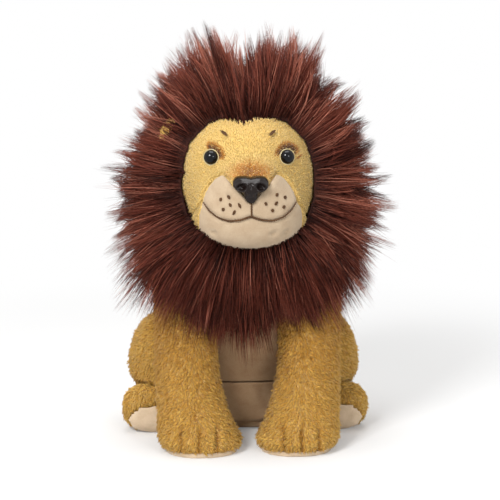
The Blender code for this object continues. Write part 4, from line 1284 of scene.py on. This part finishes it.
def mouth_places(count):
    """Even places along one half of the mouth, from its middle to its corner."""
    line = np.array(MOUTH_LINE) * [MUZZLE_HALF, MOUTH_RISE]
    t = np.linspace(0, 1, len(line))
    fine = np.linspace(0, 1, count)
    fit = [np.interp(fine, t, line[:, k]) for k in range(2)]
    for k in range(2):
        fit[k][1:-1] = (fit[k][:-2] + 2 * fit[k][1:-1] + fit[k][2:]) / 4
    return [(x, MOUTH_FOOT + z) for x, z in zip(*fit)]


def sew_mouth(bm):
    half = mouth_places(MOUTH_STITCHES + 1)
    for side in (-1, 1):
        for (xa, za), (xb, zb) in zip(half, half[1:]):
            slant, over = (0.12 + 0.22 * chance.random()) * MM, 0.2 + 0.3 * chance.random()
            wide = (0.85 - 0.40 * xa / MUZZLE_HALF) * MM
            start, end = (side * xa, za + slant), (side * (xb + over * (xb - xa)), zb - slant)
            stitch_into(bm, start, end, wide, 0.85 * MM)
    for step in range(5):
        z = MOUTH_FOOT + 3.2 * MM + step * 1.9 * MM
        stitch_into(bm, (0.4 * MM, z), (0.2 * MM, z + 2.6 * MM), 0.66 * MM, 0.9 * MM)


def sew_face():
    """The mouth with the line up to the nose, the whisker spots and the brows."""
    bm = bmesh.new()
    sew_mouth(bm)
    for x, z in (*SPOTS_LEFT, *SPOTS_RIGHT):
        sew_row(bm, x * MM, MOUTH_FOOT + z * MM, 0.5 * chance.normal(), *SPOT)
    for x, z, slope in BROWS:
        sew_row(bm, x * MM, HEAD_Z + z * MM, slope, *BROW)
    made = shown("face_embroidery", bm, thread)
    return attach(made, "head_body")


embroidery = sew_face()
print(embroidery.name, len(embroidery.data.polygons), "faces")

# %% [markdown]
# ## Mane
# The mane is long-pile cloth sewn round the head like a hood. Its fibres lie outwards from the face
# and end in pointed locks. How far they reach is given by two turns about the mane's middle: one
# from the face's axis back to the nape, and one round that axis, from the viewer's right over the
# crown. The strands at the sides and the crown are shorter, so the mane is widest below the face.

# %% The reach of the mane
MANE_MIDDLE = np.array([0, -38 * MM, HEAD_Z])
MANE_RADIUS = 106 * MM
# Turns from the face's axis in degrees, the full reach there, and the share of it that is dense.
MANE_REACH = np.array((
    (0, 0.50, 0.86), (35, 0.52, 0.86), (48, 0.57, 0.86), (56, 0.645, 0.78), (60, 0.69, 0.74),
    (66, 0.765, 0.72), (72, 0.84, 0.70), (82, 0.95, 0.67), (92, 1.005, 0.65), (106, 0.97, 0.68),
    (122, 0.87, 0.78), (140, 0.76, 0.86), (160, 0.68, 0.92), (180, 0.66, 0.92),
))
# Turns round the face's axis in degrees, and how long the strands are there.
OUTLINE = np.array((
    (-180, 0.88), (-165, 0.89), (-157, 0.91), (-148, 0.98), (-140, 1.00), (-30, 1.01), (-20, 1.00),
    (-8, 0.92), (5, 0.87), (20, 0.86), (38, 0.85), (50, 0.88), (60, 0.98), (72, 0.96), (80, 0.94),
    (90, 0.89), (105, 0.92), (120, 0.89), (135, 0.84), (150, 0.77), (162, 0.785), (180, 0.88),
))
BIB_LONGER = 30 * MM
PARTING_SHORTER = 13 * MM
PARTING_WIDTH = math.radians(5.5)


def mane_angles(p):
    """Turn from the face's axis, turn round it, and distance from the mane's middle."""
    away = p - MANE_MIDDLE
    far = np.maximum(np.linalg.norm(away, axis=-1), 1e-6)
    polar = np.degrees(np.arccos(np.clip(-away[:, 1] / far, -1, 1)))
    return polar, np.arctan2(away[:, 2], away[:, 0]), far


def mane_reach(polar, turn):
    """The mane's full reach: longer towards the bib and a little shorter at the parting."""
    base = np.interp(polar, MANE_REACH[:, 0], MANE_REACH[:, 1]) * MANE_RADIUS
    low = np.clip(-np.sin(turn), 0, 1) ** 1.2
    base = base + BIB_LONGER * low * bell(polar - 62, 24)
    parting = bell(turn - math.pi / 2, PARTING_WIDTH)
    return base - PARTING_SHORTER * parting * np.sin(np.radians(polar))


def strand_reach(polar, turn, share=1.0):
    """A share of how far strands reach, with the mane's outline as the viewer sees it."""
    long = np.interp(np.degrees(turn), OUTLINE[:, 0], OUTLINE[:, 1])
    return share * mane_reach(polar, turn) * (1 - (1 - long) * smooth((polar - 50) / 30))


print("mane reaches", round(MANE_REACH[:, 1].max() * MANE_RADIUS / MM, 1), "mm from its middle")

# %% [markdown]
# A dark inner form, drawn in from each solid of the mane, stands for the dense part where no light
# gets in: the mane's dark brown, deepened by painted shade. Long strands then grow from it to the
# mane's full reach.

# %% The dense part of the mane
def dense_share(polar):
    return np.interp(polar, MANE_REACH[:, 0], MANE_REACH[:, 2])


def dense_form(co):
    """Draw the outer side of a mane solid in to where the mane is dense."""
    polar, turn, far = mane_angles(co)
    share = np.minimum(1.0, dense_share(polar) * mane_reach(polar, turn) / far)
    return MANE_MIDDLE + (co - MANE_MIDDLE) * share[:, None]


hoods = {}
for node in ("mane_left", "mane_right", "mane_nape", "mane_bib", "mane_collar"):
    hood = even_skin(f"{node}_hood", node, 2.6 * MM, mane_shade_cloth, 3, 0.3 * MM, dense_form)
    hoods[node] = hood
    print(hood.name, len(hood.data.polygons), "faces")

# %% [markdown]
# A strand starts on the outside of the dense form and bends outwards and back. Under the chin it
# falls instead, down the breast and in front of the shoulders.

# %% Where strands start and end
FALL_LENGTH = 52 * MM
# Fallen tips stay in front of the breast and above this height, which rises sideways.
FALL_FRONT = -88 * MM
FALL_LEAST = 68 * MM
# To the viewer's right the bib's strands are shorter, about this place and over this width.
SHORTER_BY, SHORTER_AT, SHORTER_WIDTH = 20 * MM, 26 * MM, 13 * MM


def ball(polar, turn, far):
    """Places about the mane's middle."""
    polar = np.radians(polar)
    out = np.sin(polar) * far
    return MANE_MIDDLE + np.stack([out * np.cos(turn), -np.cos(polar) * far, out * np.sin(turn)], 1)


def outer_side(p, out):
    """The part of a dense form that carries strands."""
    polar, turn, far = mane_angles(p)
    fits = far > (dense_share(polar) - 0.10) * mane_reach(polar, turn)
    return fits & ((out * unit(p - MANE_MIDDLE)).sum(1) > 0.2)


def fallen_share(roots, turn):
    """How far a strand hangs down the breast, from 0 to 1, instead of standing outwards."""
    below = smooth((HEAD_Z - 27 * MM - roots[:, 2]) / (18 * MM))
    in_front = smooth((-38 * MM - roots[:, 1]) / (18 * MM))
    return below * in_front * smooth((-np.sin(turn) - 0.16) / 0.36)


def hung(roots, tips, turn, share):
    """Tips of the strands under the chin, which fall in front of the shoulders."""
    way = unit(np.stack([0.78 * np.cos(turn), np.full(len(turn), -0.10), np.sin(turn) - 0.35], 1))
    low = roots + way * (FALL_LENGTH * share)[:, None]
    low[:, 1] = np.minimum(low[:, 1], FALL_FRONT)
    least = FALL_LEAST + 0.40 * np.abs(low[:, 0])
    least += SHORTER_BY * bell(low[:, 0] - SHORTER_AT, SHORTER_WIDTH)
    low[:, 2] = np.maximum(low[:, 2], least)
    return tips + fallen_share(roots, turn)[:, None] * (low - tips)


print("fallen tips stay above", round(FALL_LEAST / MM), "mm")

# %% [markdown]
# Strands are gathered into locks, whose tips come together, and a few stray. Each lock has its own
# length, lean and tone, which makes the mane look combed by hand rather than even.

# %% Growing long pile
LOCK_SPACING = 8.5 * MM
LOCK_PULL = 0.62
# The share of strands that stray from their locks, and how far those are drawn to them.
STRAY_SHARE, STRAY_PULL = 0.20, 0.08
# How much the length and the tone differ from lock to lock and from strand to strand, the shortest
# and longest share of the full reach, and how much painted shade darkens the fallen strands under
# the chin.
LOCK_LENGTHS, STRAND_LENGTHS = 0.105, 0.035
LOCK_TONES, STRAND_TONES = 0.24, 0.15
SHORTEST, LONGEST = 0.62, 1.12
FALLEN_SHADE = 0.14
# How far strands may reach out of the box round the solids.
SPARE = np.array((14.5, 12.0, 17.0)) * MM
# Turns from the face's axis, and how much further a strand's tip lies, in degrees.
MANE_LEAN = np.array(((0, 36), (40, 34), (60, 28), (75, 19), (90, 10), (110, 9), (140, 16), (180, 6)))


def long_pile(
    name, skin, body, density, allowed, fibre, long, wide, tone, spacing=LOCK_SPACING, pull=LOCK_PULL
):
    """Strands of the mane, in locks, that bend outwards along the mane's full reach."""
    roots, out = scatter(skin.data, density, allowed)
    count = len(roots)
    polar, turn, far = mane_angles(roots)
    lock = chance.normal(size=(count, 5))
    lean = np.interp(polar, MANE_LEAN[:, 0], MANE_LEAN[:, 1]) + 5 * lock[:, 0]
    tip_polar = np.clip(polar + lean, 5, 176)
    tip_turn = turn + np.radians(3.0 * lock[:, 1])
    reach = strand_reach(tip_polar, tip_turn)
    leader = leaders_of(ball(tip_polar, tip_turn, reach), spacing)
    share = long + LOCK_LENGTHS * lock[leader, 2] + STRAND_LENGTHS * lock[:, 2]
    share = np.clip(share, SHORTEST, LONGEST)
    tips = ball(tip_polar, tip_turn, np.maximum(reach * share, far + 8 * MM))
    tips = hung(roots, tips, turn, share)
    draw = np.where(chance.random(count) < STRAY_SHARE, STRAY_PULL, pull)[:, None]
    tips += draw * (tips[leader] - tips) + 5.0 * MM * lock[leader][:, [0, 3, 1]]
    half_polar, half_turn = polar + 0.45 * lean, turn + 0.4 * (tip_turn - turn)
    bend = strand_reach(half_polar, half_turn, 0.96) * np.clip(share, 0, 0.97)
    middles = ball(half_polar, half_turn, np.maximum(bend, far + 3 * MM))
    middles += 0.6 * MM * lock[leader][:, 1:4]
    middles += 0.25 * draw * (middles[leader] - middles)
    fallen = fallen_share(roots, turn)[:, None]
    middles += fallen * (0.55 * tips + 0.45 * roots + [0, -4 * MM, 2 * MM] - middles)
    width = wide * uneven(0.6, count)
    tips = np.clip(tips, np.array(cad_low) - SPARE, np.array(cad_high) + SPARE)
    # Painted shade darkens the strands that fall under the chin.
    tones = tone - FALLEN_SHADE * fallen[:, 0] + LOCK_TONES * lock[leader, 4]
    tones = np.clip(tones + STRAND_TONES * chance.normal(size=count), 0.02, 0.98)
    return grow(name, fibre, roots, middles, tips, width, tones, mane_pile, body)

# %% [markdown]
# Two kinds of fibre grow from each part of the mane: a short dark undercoat, and over it the long
# strands, which are finer and paler. The nape gets fewer, since its back is seen least.

# %% Growing the mane
# Fibres to the square metre, for the undercoat and for the strands.
STRANDS = {
    "mane_left": (0.84e6, 0.72e6),
    "mane_right": (0.84e6, 0.72e6),
    "mane_nape": (0.36e6, 0.34e6),
    "mane_bib": (0.85e6, 0.68e6),
    "mane_collar": (0.8e6, 0.5e6),
}
# Share of the full reach, half width and tone.
UNDERCOAT_LOOK = (0.78, 0.32 * MM, 0.26)
STRAND_LOOK = (0.97, 0.25 * MM, 0.56)
for node, hood in hoods.items():
    under, over = STRANDS[node]
    body = body_of(node)
    long_pile(f"{node}_undercoat", hood, body, under, outer_side, DOWN, *UNDERCOAT_LOOK)
    long_pile(f"{node}_strands", hood, body, over, outer_side, STRAND, *STRAND_LOOK)

# %% [markdown]
# The seam between the mane and the face would show as a bare edge. A fringe that grows from the
# skins of the head and the chin, round the hairline, hides it.

# %% Fringe at the hairline
FRINGE_LOOK = (0.86, 0.27 * MM, 0.40)


def fringe(start):
    """A test for the edge of the head or of the chin, from a share of the hairline outwards."""
    def test(p, out):
        edge = hairline(p)
        return (edge > start) & (edge < 1.30) & (p[:, 1] < -20 * MM) & (p[:, 2] > HEAD_Z - 46 * MM)
    return test


for name, skin, density, start in (
    ("head_fringe", head, 1.05e6, 0.985),
    ("chin_fringe", patches["chin"], 0.9e6, 1.01),
):
    long_pile(name, skin, "head_body", density, fringe(start), DOWN, *FRINGE_LOOK, 6 * MM, 0.5)

# %% [markdown]
# ## Tail
# The tail is a stuffed tube that lies on the floor behind the toy, with a tuft of the mane's pile.

# %% Tail and tuft
TUFT_LENGTH = 13 * MM
TUFT_WAY = np.array([-1.0, -0.1, -0.1])


def tail_nap(p):
    return np.tile([-0.8, 0.4, 0.0], (len(p), 1))


def tuft_strands(core):
    """Strands that end the tail, swept along it and gathered a little."""
    roots, out = scatter(core.data, 0.9e6)
    low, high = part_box("tail_tuft")
    count = len(roots)
    leader = leaders_of(roots, 5 * MM)
    lock = chance.normal(size=(count, 3))
    way = unit(out * 0.45 + TUFT_WAY + 0.12 * lock[leader])
    tips = roots + way * (TUFT_LENGTH * uneven(0.4, count, 1))
    tips[:, 0] = np.maximum(tips[:, 0], low.x - 4 * MM)
    tips += 0.6 * (tips[leader] - tips)
    tips[:, 2] = np.clip(tips[:, 2], 0.3 * MM, high.z + 2 * MM)
    middles = (roots + tips) / 2 + out * 2 * MM
    tone = np.clip(0.4 + 0.2 * chance.normal(size=count), 0.02, 0.98)
    width = 0.3 * MM * uneven(0.6, count)
    return grow("tail_tuft_strands", STRAND, roots, middles, tips, width, tone, mane_pile, "tail_body")


tail = even_skin("tail_plush", "tail", 1.4 * MM, gold_cloth, 3, 1.0 * MM)
short_pile("tail_nap", tail, "tail_body", tail_nap, shaded_body_tone, 2.6 * MM, 1.5e6)
# The tuft's core has the mane's dark brown, deepened by painted shade.
tuft_core = even_skin("tail_tuft_core", "tail_tuft", 1.6 * MM, mane_shade_cloth, 3, 3.5 * MM)
tuft_strands(tuft_core)

# %% [markdown]
# ## Floor
# The toy stands on a pale floor. To the camera the floor glows nearly white, as in a product
# photograph, but it throws no more light on the toy for it. Near the toy it is plain and grey, so it
# keeps the toy's shadow, and the glow fades in around it.

# %% Floor
DIRECT_RAYS = ("Is Camera Ray", "Is Glossy Ray", "Is Transmission Ray")
# How far from the toy the glow starts and is full, and how much of it there is at its start.
GLOW_START, GLOW_FULL, GLOW_LEAST = 0.14, 0.50, 0.15


def seen_directly(finish):
    """1 for what the camera sees, straight, in a mirror or through glass."""
    rays = [finish.node("LightPath", None, None, kind) for kind in DIRECT_RAYS]
    total = rays[0] + rays[1] + rays[2]
    return finish.node("Math", {"operation": "MINIMUM"}, {0: total, 1: 1.0})


def make_floor():
    bm = bmesh.new()
    bmesh.ops.create_grid(bm, x_segments=1, y_segments=1, size=4.0)
    finish = Finish("floor", base_color=(0.86, 0.86, 0.86), roughness=0.9)
    centred = finish.node("VectorMath", {"operation": "SUBTRACT"}, {0: finish.place(), 1: (0, 0.1, 0)})
    far = finish.node("VectorMath", {"operation": "LENGTH"}, {0: centred}, 1)
    ends = {0: far, 1: GLOW_START, 2: GLOW_FULL, 3: GLOW_LEAST, 4: 1.0}
    fade = finish.node("MapRange", {"interpolation_type": "SMOOTHSTEP"}, ends)
    glow = finish.node("Emission", None, {"Color": (1, 1, 1), "Strength": 1.0})
    plain = Value(finish, finish.shader.outputs[0])
    mixed = finish.node("MixShader", None, {0: fade * seen_directly(finish), 1: plain, 2: glow})
    output = finish.tree.nodes["Material Output"]
    finish.tree.links.new(mixed.socket, output.inputs["Surface"])
    made = shown("floor", bm, finish.material, False)
    return made


print(make_floor().name, "with a glow from", GLOW_START, "to", GLOW_FULL, "m")

# %% [markdown]
# ## Light
# A large soft key from the left, a small fill from the right and a broad light from above are what a
# product photograph has. The world adds a plain low light, and is white where it is seen directly.

# %% Light
ROOM_STRENGTH = 0.40
ROOM_TINT = (1.0, 0.99, 0.97, 1)
# Each light's place, its size in metres and its power in watts.
LIGHTS = {
    "key": ((-0.62, -1.05, 0.98), 0.42, 18),
    "fill": ((0.62, -1.30, 0.60), 0.28, 4.5),
    "top": ((0.0, 0.05, 1.3), 0.8, 9),
}


def soft_light(name, place, size, power):
    """A square soft box that looks at the toy."""
    data = bpy.data.lights.new(name, "AREA")
    data.size, data.energy = size, power
    made = placed(name, data)
    made.location = place
    made.rotation_euler = (aim - Vector(place)).to_track_quat("-Z", "Y").to_euler()


def light_room():
    """A low even light for the toy, and white for what the camera sees directly."""
    world = bpy.data.worlds.new("room")
    bpy.context.scene.world = world
    world.use_nodes = True
    nodes = world.node_tree.nodes
    low = nodes["Background"]
    low.inputs["Color"].default_value = ROOM_TINT
    low.inputs["Strength"].default_value = ROOM_STRENGTH
    white = nodes.new("ShaderNodeBackground")
    white.inputs["Color"].default_value = (1, 1, 1, 1)
    path, mix = nodes.new("ShaderNodeLightPath"), nodes.new("ShaderNodeMixShader")
    either, seen = nodes.new("ShaderNodeMath"), nodes.new("ShaderNodeMath")
    either.operation = seen.operation = "MAXIMUM"
    camera_ray, glossy_ray, glass_ray = (path.outputs[kind] for kind in DIRECT_RAYS)
    for source, target in (
        (camera_ray, either.inputs[0]),
        (glossy_ray, either.inputs[1]),
        (either.outputs[0], seen.inputs[0]),
        (glass_ray, seen.inputs[1]),
        (seen.outputs[0], mix.inputs[0]),
        (low.outputs[0], mix.inputs[1]),
        (white.outputs[0], mix.inputs[2]),
        (mix.outputs[0], nodes["World Output"].inputs["Surface"]),
    ):
        world.node_tree.links.new(source, target)


light_room()
for name, light in LIGHTS.items():
    soft_light(name, *light)
bpy.context.scene.view_settings.view_transform = "Standard"
print("lights", *LIGHTS)
